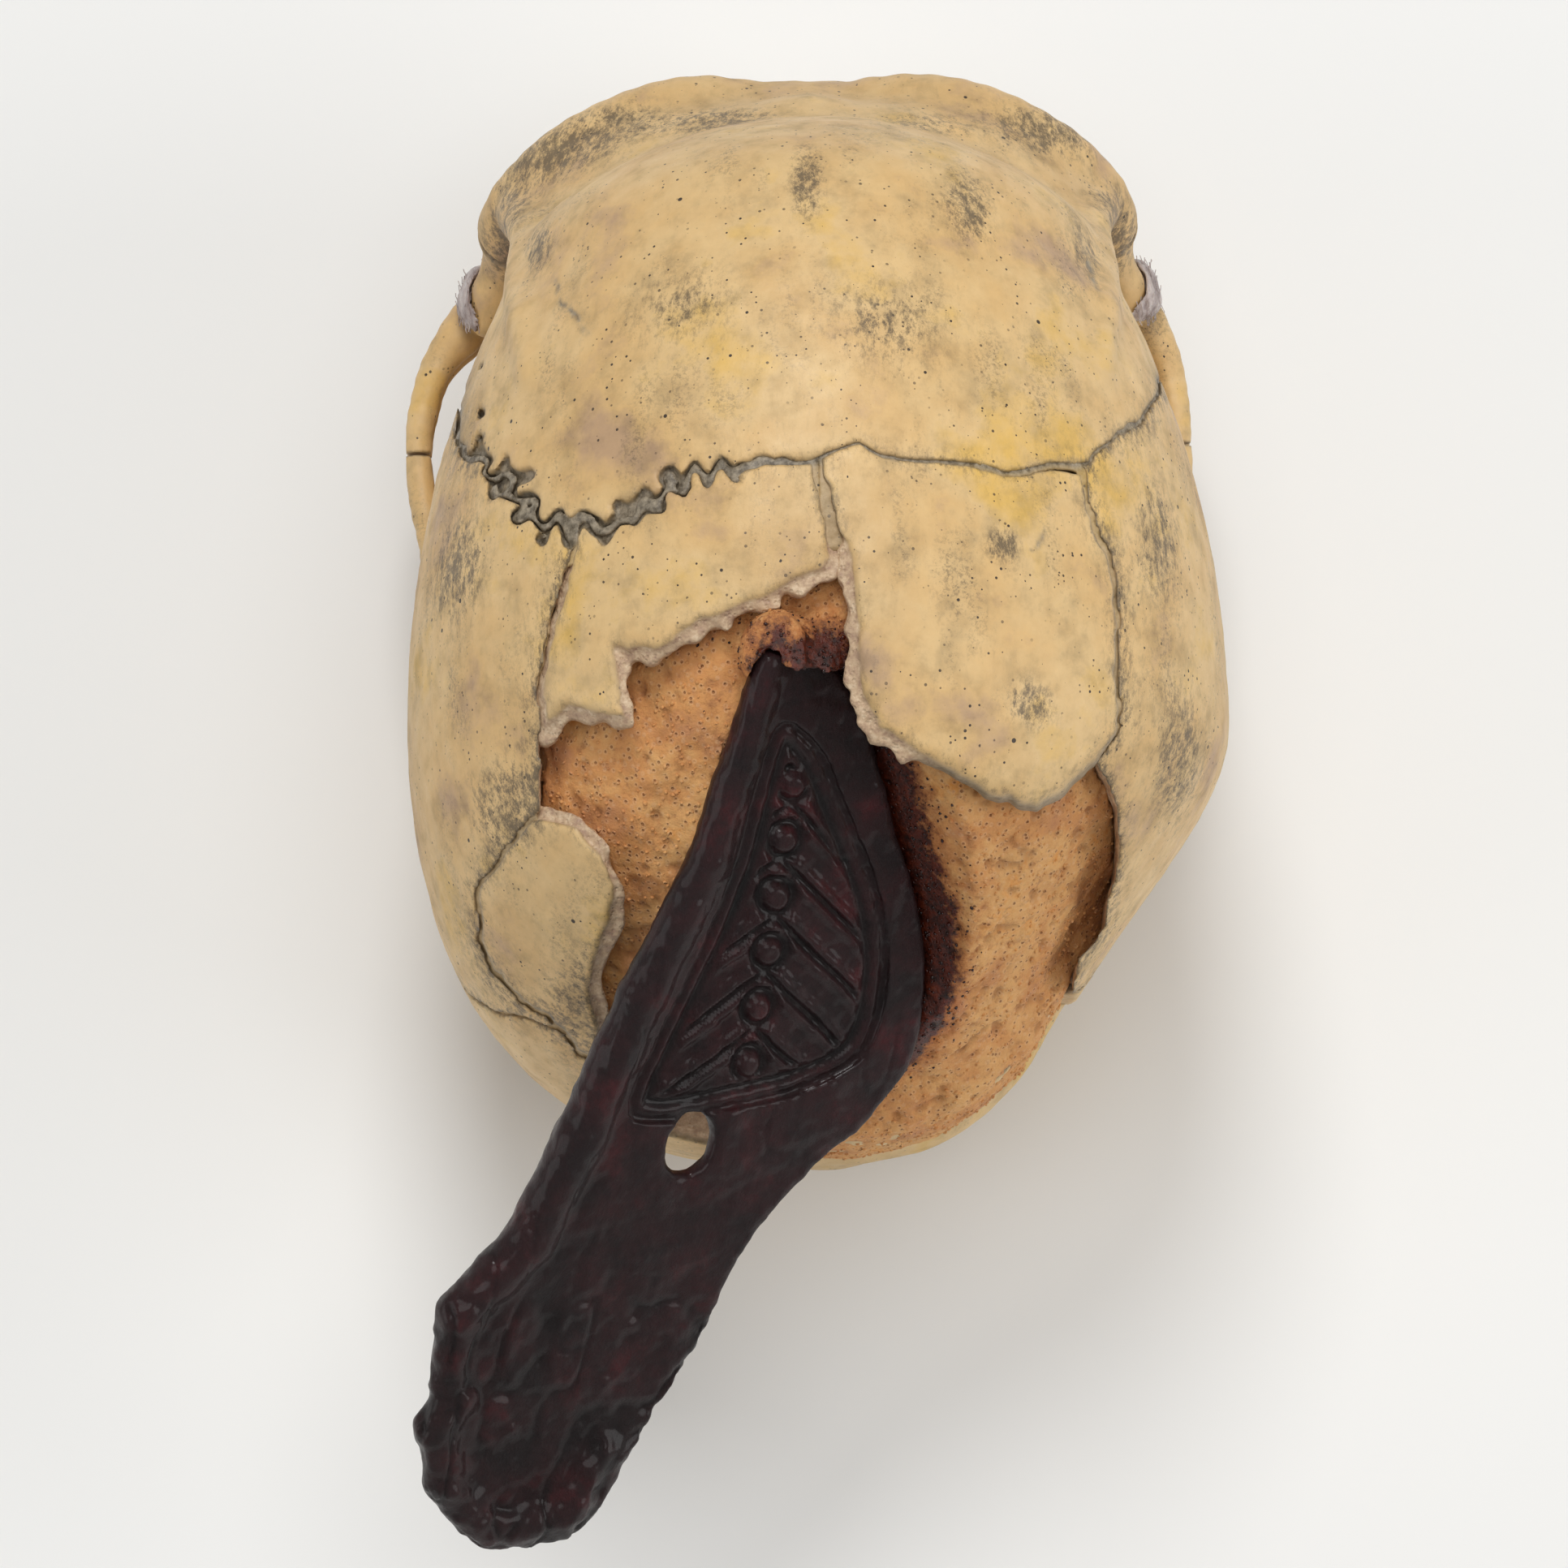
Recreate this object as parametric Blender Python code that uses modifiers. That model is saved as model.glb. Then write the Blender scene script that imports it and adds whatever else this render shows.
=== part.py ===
# A human cranium on its upper teeth and occiput, its vault broken open at the back, with loose vault
# fragments on a porous filling and a carved blade set into it. It is modelled level with the ear holes
# and the eye sockets' lower rims, then tipped face up until it stands on its teeth and its occiput.
# X is the skull's right, Y its front and Z up.

import math

import bmesh
import bpy
import numpy as np
from mathutils import Euler, Matrix, Vector

# The cranium, measured from the line through the ear holes
HALF_WIDTH = 0.070
HALF_LENGTH = 0.0945
VAULT_TOP = 0.1205
VAULT_WALL = 0.006
HOLLOW_FLOOR = -0.0180
HOLLOW_STEP_SHARE = 0.450
HOLLOW_FRONT_SHARE = 0.420
REST_TILT_LIMIT = math.radians(25.0)
REST_STEPS = 40
REST_FLAT = 0.0008

# Clearances and cuts
PIECE_GAP = 0.0003
CORE_MARGIN = 0.0009
OVERRUN = 0.020
MERGE = 0.00001
# Well past the skull on every side, as a share of its half width or half length
BEYOND_SHARE = 1.20

# Surfaces of the cranium
VOXEL = 0.0017
FACE_KEEP_SHARE = 0.042
SMOOTH_STEPS = 3
VAULT_RINGS = (48, 64)
HOLLOW_RINGS = (16, 22)
ROOM_RINGS = (12, 16)
BLOB_RINGS = (10, 16)
ROD_STEPS = 3
CONE_SEGMENTS = 20
EAR_SEGMENTS = 12
TOOTH_SEGMENTS = 8
SHARP_ANGLE = math.radians(40.0)

# Face and base
BROW_RADIUS = 0.0056
RIM_RADIUS = 0.0043
ARCH_RADIUS = 0.0025
ARCH_ROOT_RADIUS = 0.0042
ARCH_LIFT = 0.0026
NASAL_RADIUS = 0.0042
PILLAR_RADIUS = 0.0062
ALVEOLAR_RADIUS = 0.0064
ALVEOLAR_LIFT = 0.0075
PTERYGOID_RADIUS = 0.0030
MASTOID_RADIUS = 0.0110
MASTOID_TIP_RADIUS = 0.0050
ORBIT_WIDTH = 0.040
ORBIT_HEIGHT = 0.034
ORBIT_APEX = 0.007
ORBIT_MOUTH_SHARE = 1.10
TEMPORAL_INNER = 0.036
FORAMEN_WIDTH = 0.030
FORAMEN_LENGTH = 0.036
EAR_HOLE_RADIUS = 0.0040
EAR_HOLE_INNER_SHARE = 0.720
VOMER_THICKNESS = 0.0020

# Teeth, from the middle of the arch to the back: width along the arch as a share of the half length,
# then depth across it and crown height
TOOTH_NAMES = (
    "central_incisor", "lateral_incisor", "canine", "first_premolar",
    "second_premolar", "first_molar", "second_molar", "third_molar",
)
TOOTH_WIDTH_SHARES = (0.0847, 0.0656, 0.0741, 0.0688, 0.0667, 0.0974, 0.0910, 0.0783)
TOOTH_DEPTHS = (0.0062, 0.0058, 0.0078, 0.0088, 0.0088, 0.0108, 0.0106, 0.0094)
TOOTH_HEIGHTS = (0.0100, 0.0092, 0.0102, 0.0086, 0.0080, 0.0076, 0.0072, 0.0066)
TOOTH_GAP = 0.0004
ROOT_LENGTH = 0.0070
TOOTH_EDGE_SHARES = (0.30, 0.30, 0.45, 0.75, 0.80, 0.85, 0.85, 0.85)
TOOTH_SQUARE_SHARE = 0.75
TOOTH_RING_SHARES = (
    (0.00, 0.00), (0.01, 0.30), (0.18, 0.46), (0.34, 0.62), (0.46, 0.78), (0.64, 0.97), (0.84, 1.00),
    (1.00, 0.82), (1.00, 0.00),
)

# Filling and blade
CORE_DEPTH = 0.024
CORE_RISE = 0.0030
CORE_MOUND_SIZE = (0.0075, 0.0095, 0.0050)
BLADE_LENGTH = 0.169
BLADE_THICKNESS = 0.0034
BLADE_RIM_RADIUS = 0.0042
BLADE_HOLE_RADIUS = 0.0060
BLADE_PANEL_DEPTH = 0.0007
BLADE_REACH = 0.0470
BLADE_TILT = math.radians(33.0)
BLADE_SLOPE = math.radians(25.0)
BLADE_TURN = math.radians(-15.7)

# The loose plates are tipped up about the middle of the coronal suture by these angles
RIGHT_PLATE_TIP = math.radians(-4.5)
LEFT_PLATE_TIP = math.radians(-2.5)
FRAGMENT_LIFT = 0.0006
LOOSE_PIECES = ("right_vault_plate", "left_vault_plate", "lambda_fragment")
LOOSE_NEIGHBOURS = ("frontal_bone", "left_parietal_bone", "right_parietal_bone", "occipital_bone")
PLATE_FIT_SHARE = 0.982
PLATE_HINGE_SHARES = (0.0, 0.160, 0.930)

# Glue behind the cheek bones, along the arches
GLUE_RADIUS = 0.0050
GLUE_LONG_SHARE = 1.3
GLUE_SHARES = (0.820, 0.655, 0.010)

# Colours and how rough each surface is
BONE_COLOUR = (0.72, 0.50, 0.22)
TOOTH_COLOUR = (0.78, 0.66, 0.42)
CORE_COLOUR = (0.63, 0.33, 0.14)
BLADE_COLOUR = (0.024, 0.010, 0.009)
GLUE_COLOUR = (0.48, 0.38, 0.36)
BONE_FINISH = 0.6
TOOTH_FINISH = 0.3
CORE_FINISH = 0.8
BLADE_FINISH = 0.35
GLUE_FINISH = 0.25

# The vault's own front, behind the brow, as a share of the half length
VAULT_FRONT_SHARE = 0.910
# Cross sections of the vault from front to back: place along the half length, or along the vault's own
# front, then half width, top, bottom and widest level, as shares of the half width and the vault's height
VAULT_SHARES = (
    (0.984, 0.170, 0.450, 0.260, 0.335),
    (0.950, 0.320, 0.560, 0.205, 0.342),
    (0.900, 0.457, 0.670, 0.155, 0.350),
    (0.840, 0.585, 0.750, 0.110, 0.357),
    (0.760, 0.697, 0.800, 0.075, 0.362),
    (0.670, 0.740, 0.845, 0.040, 0.366),
    (0.535, 0.815, 0.900, -0.050, 0.373),
    (0.297, 0.915, 0.963, -0.150, 0.382),
    (0.030, 0.980, 1.000, -0.210, 0.390),
    (-0.216, 1.000, 0.995, -0.240, 0.398),
    (-0.454, 0.970, 0.934, -0.274, 0.382),
    (-0.660, 0.880, 0.805, -0.274, 0.350),
    (-0.822, 0.715, 0.647, -0.216, 0.315),
    (-0.930, 0.500, 0.498, -0.066, 0.282),
    (-0.984, 0.257, 0.382, 0.100, 0.266),
)
LOWER_POWER_SHARES = (2.0, 2.6)
# The right side is flattened towards the back: by this share of its width, between these places
FLATTENED_SHARE = 0.27
FLATTENED_FROM_SHARE = -0.22
FLATTENED_TO_SHARE = -0.76

# Places below are shares of the half width, the half length and the vault's height
BROW_SHARES = (
    (0.00, 0.920, 0.210), (0.24, 0.945, 0.240), (0.43, 0.920, 0.250),
    (0.61, 0.865, 0.225), (0.720, 0.800, 0.165), (0.74, 0.765, 0.100),
)
# The orbit's roof, from behind the brow back to the forehead
ORBIT_ROOF_SHARES = ((0.28, 0.860, 0.240), (0.48, 0.805, 0.235), (0.62, 0.735, 0.195))
CHEEK_POST_SHARES = ((0.74, 0.765, 0.110), (0.73, 0.730, 0.040), (0.72, 0.690, -0.040))
CHEEK_BODY_SHARES = (0.69, 0.650, -0.080)
CHEEK_BODY_SIZE = (0.0105, 0.0100, 0.0135)
LOWER_RIM_SHARES = (
    (0.70, 0.690, -0.050), (0.57, 0.780, -0.062), (0.40, 0.835, -0.045), (0.24, 0.870, 0.000),
)
ARCH_SHARES = (
    (0.840, 0.625, -0.065), (0.905, 0.545, -0.067), (0.930, 0.455, -0.066), (0.935, 0.370, -0.060),
    (0.935, 0.290, -0.050), (0.940, 0.180, -0.036), (0.935, 0.070, -0.016), (0.900, -0.030, 0.000),
)
# The left arch swings wider than the right one
LEFT_ARCH_SHARES = (
    (-0.860, 0.625, -0.065), (-0.945, 0.545, -0.067), (-0.985, 0.455, -0.066), (-0.995, 0.370, -0.060),
    (-0.985, 0.290, -0.050), (-0.955, 0.180, -0.036), (-0.935, 0.070, -0.016), (-0.900, -0.030, 0.000),
)
NASAL_SHARES = ((0.045, 0.915, 0.180), (0.050, 0.945, 0.105), (0.056, 0.975, 0.040))
FRONTAL_PROCESS_SHARES = ((0.16, 0.880, 0.155), (0.19, 0.900, 0.050), (0.215, 0.885, -0.050))
PILLAR_SHARES = ((0.215, 0.885, -0.040), (0.243, 0.905, -0.165), (0.250, 0.890, -0.290))
MAXILLA_SHARES = (0.385, 0.715, -0.150)
MAXILLA_SIZE = (0.0180, 0.0165, 0.0200)
ALVEOLAR_SHARES = (
    (0.000, 0.925, -0.300), (0.157, 0.915, -0.300), (0.286, 0.850, -0.300),
    (0.370, 0.750, -0.300), (0.400, 0.625, -0.300), (0.400, 0.445, -0.300),
)
PALATE_SHARES = (0.0, 0.700, -0.245)
PALATE_SIZE = (0.052, 0.050, 0.006)
NOSE_BLOCK_SHARES = (0.0, 0.640, 0.070)
NOSE_BLOCK_SIZE = (0.028, 0.046, 0.034)
SPHENOID_BODY_SHARES = (0.0, 0.330, -0.070)
SPHENOID_BODY_SIZE = (0.0190, 0.0240, 0.0150)
WING_SHARES = (0.50, 0.480, 0.060)
WING_SIZE = (0.0150, 0.0100, 0.0200)
PTERYGOID_SHARES = (
    ((0.17, 0.380, -0.080), (0.17, 0.355, -0.285)),
    ((0.25, 0.370, -0.080), (0.29, 0.325, -0.270)),
)
MASTOID_SHARES = ((0.78, -0.130, -0.040), (0.73, -0.140, -0.150), (0.69, -0.130, -0.238))
EAR_SHARES = (0.86, 0.000, -0.022)
EAR_SIZE = (0.0080, 0.0110, 0.0085)
CONDYLE_SHARES = (0.24, -0.110, -0.235)
CONDYLE_SIZE = (0.0052, 0.0110, 0.0056)
BASILAR_SHARES = (0.0, -0.050, -0.160)
BASILAR_SIZE = (0.0130, 0.0240, 0.0080)
INION_SHARES = (0.0, -0.945, 0.010)
INION_SIZE = (0.0090, 0.0035, 0.0055)
ORBIT_FRONT_SHARES = (0.450, 0.860, 0.065)
ORBIT_BACK_SHARES = (0.170, 0.430, 0.090)
ORBIT_REACH_SHARE = 1.35
NOSE_OUTLINE_SHARES = (
    (0.00, 0.030), (0.06, 0.015), (0.12, -0.060), (0.17, -0.150), (0.165, -0.205), (0.09, -0.225),
    (0.00, -0.215),
)
NOSE_DEPTH_SHARES = (0.430, 1.200)
CHOANA_SHARES = (0.0, 0.560, -0.120)
CHOANA_SIZE = (0.024, 0.062, 0.030)
FORAMEN_SHARES = (0.0, -0.320, -0.270)

# Sutures and breaks, seen from above, as shares of the half width and the half length
CORONAL_SHARES = (
    (-1.20, 0.500), (-0.86, 0.400), (-0.85, 0.260), (-0.75, 0.190), (-0.64, 0.090), (-0.49, 0.070),
    (-0.40, 0.100), (-0.32, 0.150), (-0.20, 0.160), (0.00, 0.165), (0.08, 0.195), (0.16, 0.165),
    (0.31, 0.170), (0.43, 0.160), (0.61, 0.180), (0.72, 0.240), (0.83, 0.340), (0.86, 0.400),
    (1.20, 0.500),
)
RIGHT_PLATE_SHARES = (
    (0.00, 0.250), (0.62, 0.250), (0.64, 0.110), (0.68, 0.020), (0.70, -0.060), (0.70, -0.270),
    (0.64, -0.340), (0.56, -0.400), (0.50, -0.420), (0.38, -0.410), (0.22, -0.350), (0.12, -0.310),
    (0.08, -0.250), (0.07, -0.110), (0.06, -0.020), (0.03, 0.070), (0.00, 0.150),
)
LEFT_PLATE_SHARES = (
    (-0.02, 0.250), (-0.60, 0.250), (-0.57, 0.050), (-0.60, -0.010), (-0.63, -0.080), (-0.65, -0.140),
    (-0.66, -0.210), (-0.65, -0.270), (-0.60, -0.240), (-0.52, -0.260), (-0.45, -0.270),
    (-0.46, -0.210), (-0.47, -0.150), (-0.39, -0.160), (-0.32, -0.130), (-0.21, -0.100),
    (-0.14, -0.080), (-0.02, -0.030), (0.01, -0.010), (0.00, 0.060), (-0.02, 0.150),
)
FRAGMENT_SHARES = (
    (-0.67, -0.440), (-0.72, -0.490), (-0.79, -0.550), (-0.79, -0.630), (-0.77, -0.670),
    (-0.73, -0.710), (-0.65, -0.740), (-0.58, -0.800), (-0.47, -0.840), (-0.49, -0.780),
    (-0.50, -0.730), (-0.47, -0.690), (-0.40, -0.650), (-0.45, -0.580), (-0.49, -0.540),
    (-0.52, -0.490), (-0.57, -0.460),
)
WINDOW_SHARES = (
    (-0.65, -0.200), (-0.66, -0.360), (-0.66, -0.440), (-0.57, -0.460), (-0.52, -0.490),
    (-0.49, -0.540), (-0.45, -0.580), (-0.40, -0.650), (-0.47, -0.690), (-0.50, -0.730),
    (-0.49, -0.780), (-0.47, -0.840), (-0.45, -1.200), (0.80, -1.200), (0.70, -0.760),
    (0.60, -0.700), (0.62, -0.660), (0.68, -0.590), (0.70, -0.500), (0.69, -0.400), (0.64, -0.340),
    (0.60, 0.000),
    (-0.60, 0.000),
)
WINDOW_LEVEL_SHARE = 0.385
PARIETAL_FRONT_SHARE = 0.450
PARIETAL_LEVEL_SHARE = 0.050

# Sutures of the side, seen from the side, as shares of the half length and the vault's height
SQUAMA_SHARES = (
    (-0.520, 0.100), (-0.420, 0.260), (-0.220, 0.370), (0.020, 0.410), (0.240, 0.360), (0.370, 0.250),
    (0.400, 0.080), (0.385, 0.000), (0.385, -0.110), (0.120, -0.110), (0.120, -0.320), (-0.320, -0.320),
)
FRONTAL_BELOW_SHARES = (
    (-0.100, 0.350), (0.410, 0.350), (0.500, 0.310), (0.630, 0.210), (0.700, 0.115), (0.840, 0.110),
    (0.930, 0.175), (1.200, 0.175), (1.200, 1.400), (-0.100, 1.400),
)
LAMBDOID_SHARES = (
    (-1.200, 0.620), (-0.810, 0.620), (-0.520, 0.100), (-0.320, -0.050), (0.085, -0.050),
    (0.085, -0.500), (-1.200, -0.500),
)
SPHENOID_SHARES = (
    (0.050, 0.360), (0.420, 0.360), (0.500, 0.310), (0.630, 0.210), (0.640, 0.000), (0.500, -0.020),
    (0.500, -0.500), (0.050, -0.500),
)
# The cheek bone's limits from above and from the front
CHEEK_TOP_SHARES = (
    (0.43, 1.100), (0.43, 0.700), (0.56, 0.560), (0.74, 0.530), (0.80, 0.375), (1.20, 0.375), (1.20, 1.100),
)
CHEEK_FRONT_SHARES = (
    (0.60, 0.110), (1.20, 0.110), (1.20, -0.300), (0.66, -0.260), (0.57, -0.160), (0.44, -0.060),
    (0.48, 0.040),
)
NASAL_FRONT_SHARES = ((0.00, 0.172), (0.075, 0.172), (0.090, 0.090), (0.125, 0.000), (0.00, 0.000))
NASAL_BACK_SHARE = 0.860
ETHMOID_SHARES = (0.0, 0.670, 0.060)
ETHMOID_SIZE = (0.024, 0.036, 0.022)
PALATINE_SHARES = (0.0, 0.480, -0.235)
PALATINE_SIZE = (0.040, 0.016, 0.018)
# The vomer's outline, as shares of the nasal passage's length and height from its middle
VOMER_SHARES = (
    (-0.30, 0.50), (-0.12, -0.10), (-0.05, -0.50), (0.47, -0.50), (0.47, -0.42), (0.30, 0.10),
    (0.18, 0.50),
)

# The blade's outline in its own plane: across from its left edge's line, then down its length
BLADE_SHARES = (
    (0.00, 0.000), (-0.06, 0.240), (-0.19, 0.390), (-0.29, 0.540), (-0.39, 0.650), (-0.59, 0.733),
    (-0.58, 0.793), (-0.54, 0.810), (-0.59, 0.848), (-0.48, 0.929), (-0.20, 0.990), (0.15, 0.970),
    (0.28, 0.880), (0.35, 0.824), (0.45, 0.747), (0.51, 0.665), (0.67, 0.584), (0.90, 0.508),
    (1.00, 0.449), (0.99, 0.370), (0.89, 0.288), (0.68, 0.190), (0.48, 0.093), (0.24, 0.020),
)
# The rim runs along the outline's first points, the lobe's edge from there to this count of them
BLADE_RIM_COUNT = 7
BLADE_LOBE_COUNT = 13
BLADE_RIM_SHARES = (0.60, 0.80, 0.90, 1.00, 1.00, 1.00, 0.80)
BLADE_LOBE_SHARE = 0.85
BLADE_LOBE_INSET_SHARE = 0.20
BLADE_PANEL_SHARES = (
    (0.10, 0.100), (0.08, 0.250), (-0.02, 0.390), (-0.10, 0.500), (0.04, 0.520), (0.36, 0.500),
    (0.60, 0.480), (0.80, 0.440), (0.82, 0.370), (0.72, 0.280), (0.48, 0.180), (0.28, 0.110),
)
BLADE_HOLE_SHARES = (0.21, 0.546)
BLADE_TIP_SHARES = (-0.120, -0.130, 1.010)
CORE_MOUND_SHARES = (-0.030, -0.210, 0.950)
CORE_FRONT_SHARE = 0.240
CORE_LEVEL_SHARE = 0.200


def place(shares):
    return Vector((shares[0] * HALF_WIDTH, shares[1] * HALF_LENGTH, shares[2] * VAULT_TOP))


def clear_scene():
    for found in list(bpy.data.objects):
        bpy.data.objects.remove(found, do_unlink=True)


def make_collection(name):
    collection = bpy.data.collections.new(name)
    bpy.context.scene.collection.children.link(collection)
    return collection


clear_scene()
skull_parts = make_collection("skull_replica")
cutters = make_collection("cutters")


def link_object(name, mesh, collection):
    made = bpy.data.objects.new(name, mesh)
    collection.objects.link(made)
    return made


def helper(name, mesh):
    made = link_object(name, mesh, cutters)
    made.hide_render = True
    made.display_type = "WIRE"
    return made


def evaluated_mesh(source):
    depsgraph = bpy.context.evaluated_depsgraph_get()
    depsgraph.update()
    return bpy.data.meshes.new_from_object(source.evaluated_get(depsgraph))


def settle(target):
    mesh = evaluated_mesh(target)
    target.modifiers.clear()
    target.data = mesh
    return target


def cut(target, cutter, operation="DIFFERENCE", solver="MANIFOLD"):
    # On the blended head's many small faces the exact solver leaves open edges or drops whole bodies,
    # so its cuts use the manifold one, and the plain forms use the exact one
    boolean = target.modifiers.new("cut", "BOOLEAN")
    boolean.object = cutter
    boolean.operation = operation
    boolean.solver = solver
    return settle(target)


def face_out(mesh, merge=0.0):
    shape = bmesh.new()
    shape.from_mesh(mesh)
    if merge:
        bmesh.ops.remove_doubles(shape, verts=shape.verts, dist=merge)
    bmesh.ops.recalc_face_normals(shape, faces=shape.faces)
    shape.to_mesh(mesh)
    shape.free()
    return mesh


def mesh_from(shape, name):
    mesh = bpy.data.meshes.new(name)
    bmesh.ops.recalc_face_normals(shape, faces=shape.faces)
    shape.to_mesh(mesh)
    shape.free()
    return mesh


def smooth_along(stations, values, where):
    # Cubic through the stations' values, with level ends
    slopes = np.gradient(values, stations)
    i = int(np.clip(np.searchsorted(stations, where) - 1, 0, len(stations) - 2))
    step = stations[i + 1] - stations[i]
    t = float(np.clip((where - stations[i]) / step, 0.0, 1.0))
    return (
        (2 * t**3 - 3 * t**2 + 1) * values[i]
        + (t**3 - 2 * t**2 + t) * step * slopes[i]
        + (3 * t**2 - 2 * t**3) * values[i + 1]
        + (t**3 - t**2) * step * slopes[i + 1]
    )


STATION_TABLE = np.array(VAULT_SHARES)
STATION_ANGLES = np.arccos(STATION_TABLE[:, 0])
STATION_SINES = np.sin(STATION_ANGLES)
WIDTH_CURVE = STATION_TABLE[:, 1] / STATION_SINES
RISE_CURVE = (STATION_TABLE[:, 2] - STATION_TABLE[:, 4]) / STATION_SINES
DROP_CURVE = (STATION_TABLE[:, 4] - STATION_TABLE[:, 3]) / STATION_SINES
LEVEL_CURVE = STATION_TABLE[:, 4]


def flattening(length_share):
    t = (length_share - FLATTENED_FROM_SHARE) / (FLATTENED_TO_SHARE - FLATTENED_FROM_SHARE)
    t = min(max(t, 0.0), 1.0)
    return t * t * (3.0 - 2.0 * t)


def vault_point(along, around):
    # along runs from the forehead's pole to the back's, around goes round a cross section
    width = smooth_along(STATION_ANGLES, WIDTH_CURVE, along) * HALF_WIDTH
    level = smooth_along(STATION_ANGLES, LEVEL_CURVE, along) * VAULT_TOP
    sine = math.sin(along)
    c = math.cos(around)
    s = math.sin(around)
    if s >= 0.0:
        height = smooth_along(STATION_ANGLES, RISE_CURVE, along) * VAULT_TOP
        power = 1.0
    else:
        height = smooth_along(STATION_ANGLES, DROP_CURVE, along) * VAULT_TOP
        front, back = LOWER_POWER_SHARES
        power = 2.0 / (front + (back - front) * min(along / math.pi * 2, 1.0))
    x = width * sine * math.copysign(abs(c) ** power, c)
    if x > 0.0:
        x *= 1.0 - FLATTENED_SHARE * flattening(math.cos(along))
    z = level + height * sine * math.copysign(abs(s) ** power, s)
    y = HALF_LENGTH * math.cos(along)
    if y > 0.0:
        y *= VAULT_FRONT_SHARE
    return Vector((x, y, z))


def vault_mesh(name, inset, rings, segments):
    shape = bmesh.new()
    bmesh.ops.create_uvsphere(shape, u_segments=segments, v_segments=rings, radius=1.0)
    for vert in shape.verts:
        along = math.acos(max(-1.0, min(1.0, vert.co.z)))
        vert.co = vault_point(along, math.atan2(vert.co.y, vert.co.x))
    shape.normal_update()
    inward = -math.copysign(inset, shape.calc_volume(signed=True))
    for vert in shape.verts:
        vert.co += vert.normal * inward
    return mesh_from(shape, name)


def even_rod(name, shares, radius, lift=0.0):
    points = [place(p) + Vector((0, 0, lift)) for p in shares]
    return rod(name, points, [radius] * len(points))


def rod(name, points, radii):
    curve = bpy.data.curves.new(name, "CURVE")
    curve.dimensions = "3D"
    curve.bevel_depth = max(radii)
    curve.bevel_resolution = ROD_STEPS
    curve.use_fill_caps = True
    spline = curve.splines.new("POLY")
    spline.points.add(len(points) - 1)
    for point, where, radius in zip(spline.points, points, radii):
        point.co = (*where, 1.0)
        point.radius = radius / max(radii)
    return curve_to_helper(name, curve)


def curve_to_helper(name, curve, matrix=None):
    drawn = bpy.data.objects.new(name, curve)
    cutters.objects.link(drawn)
    mesh = evaluated_mesh(drawn)
    bpy.data.objects.remove(drawn, do_unlink=True)
    if matrix:
        mesh.transform(matrix)
    face_out(mesh, merge=MERGE)
    return helper(name, mesh)


def outline_block(name, points, axis, low, high):
    # A flat outline extruded along one axis: its points are (x, y), (x, z) or (y, z) in metres
    curve = bpy.data.curves.new(name, "CURVE")
    curve.dimensions = "2D"
    curve.fill_mode = "BOTH"
    curve.extrude = (high - low) / 2
    spline = curve.splines.new("POLY")
    spline.points.add(len(points) - 1)
    spline.use_cyclic_u = True
    for point, where in zip(spline.points, points):
        point.co = (*where, 0.0, 1.0)
    middle = (high + low) / 2
    if axis == "Z":
        matrix = Matrix.Translation((0, 0, middle))
    elif axis == "Y":
        matrix = Matrix.Translation((0, middle, 0)) @ Matrix.Rotation(math.radians(90), 4, "X")
    else:
        matrix = Matrix(((0, 0, 1, middle), (1, 0, 0, 0), (0, 1, 0, 0), (0, 0, 0, 1)))
    return curve_to_helper(name, curve, matrix)


def slice_block(name, back_share, front_share, low, high):
    # A block past both sides, between two places along the length and two levels
    corners = (
        (-BEYOND_SHARE, back_share), (BEYOND_SHARE, back_share),
        (BEYOND_SHARE, front_share), (-BEYOND_SHARE, front_share),
    )
    return outline_block(name, xy(corners), "Z", low, high)


def blob(name, centre, size):
    shape = bmesh.new()
    rings, segments = BLOB_RINGS
    bmesh.ops.create_uvsphere(shape, u_segments=segments, v_segments=rings, radius=1.0)
    matrix = Matrix.Translation(centre) @ Matrix.Diagonal((*size, 1.0))
    bmesh.ops.transform(shape, matrix=matrix, verts=shape.verts)
    return helper(name, mesh_from(shape, name))


def block(name, centre, size):
    shape = bmesh.new()
    bmesh.ops.create_cube(shape, size=1.0)
    matrix = Matrix.Translation(centre) @ Matrix.Diagonal((*size, 1.0))
    bmesh.ops.transform(shape, matrix=matrix, verts=shape.verts)
    return helper(name, mesh_from(shape, name))


def tapered(name, start, end, start_size, end_size, segments=CONE_SEGMENTS):
    # A cone frustum with oval ends: the sizes are its half width and half height
    shape = bmesh.new()
    length = (end - start).length
    bmesh.ops.create_cone(
        shape, cap_ends=True, segments=segments, radius1=1.0, radius2=1.0, depth=length
    )
    turn = (end - start).to_track_quat("Z", "Y").to_matrix().to_4x4()
    for vert in shape.verts:
        size = end_size if vert.co.z > 0 else start_size
        vert.co.x *= size[0]
        vert.co.y *= size[1]
    matrix = Matrix.Translation((start + end) / 2) @ turn
    bmesh.ops.transform(shape, matrix=matrix, verts=shape.verts)
    return helper(name, mesh_from(shape, name))


def mirrored(source, name):
    mesh = source.data.copy()
    mesh.transform(Matrix.Diagonal((-1.0, 1.0, 1.0, 1.0)))
    face_out(mesh)
    return helper(name, mesh)


def grown(source, gap):
    mesh = source.data.copy()
    shape = bmesh.new()
    shape.from_mesh(mesh)
    shape.normal_update()
    moves = [vert.normal * gap * vert.calc_shell_factor() for vert in shape.verts]
    for vert, move in zip(shape.verts, moves):
        vert.co += move
    shape.to_mesh(mesh)
    shape.free()
    return helper(source.name + "_grown", mesh)


def discard(*objects):
    for unwanted in objects:
        bpy.data.objects.remove(unwanted, do_unlink=True)


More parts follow.
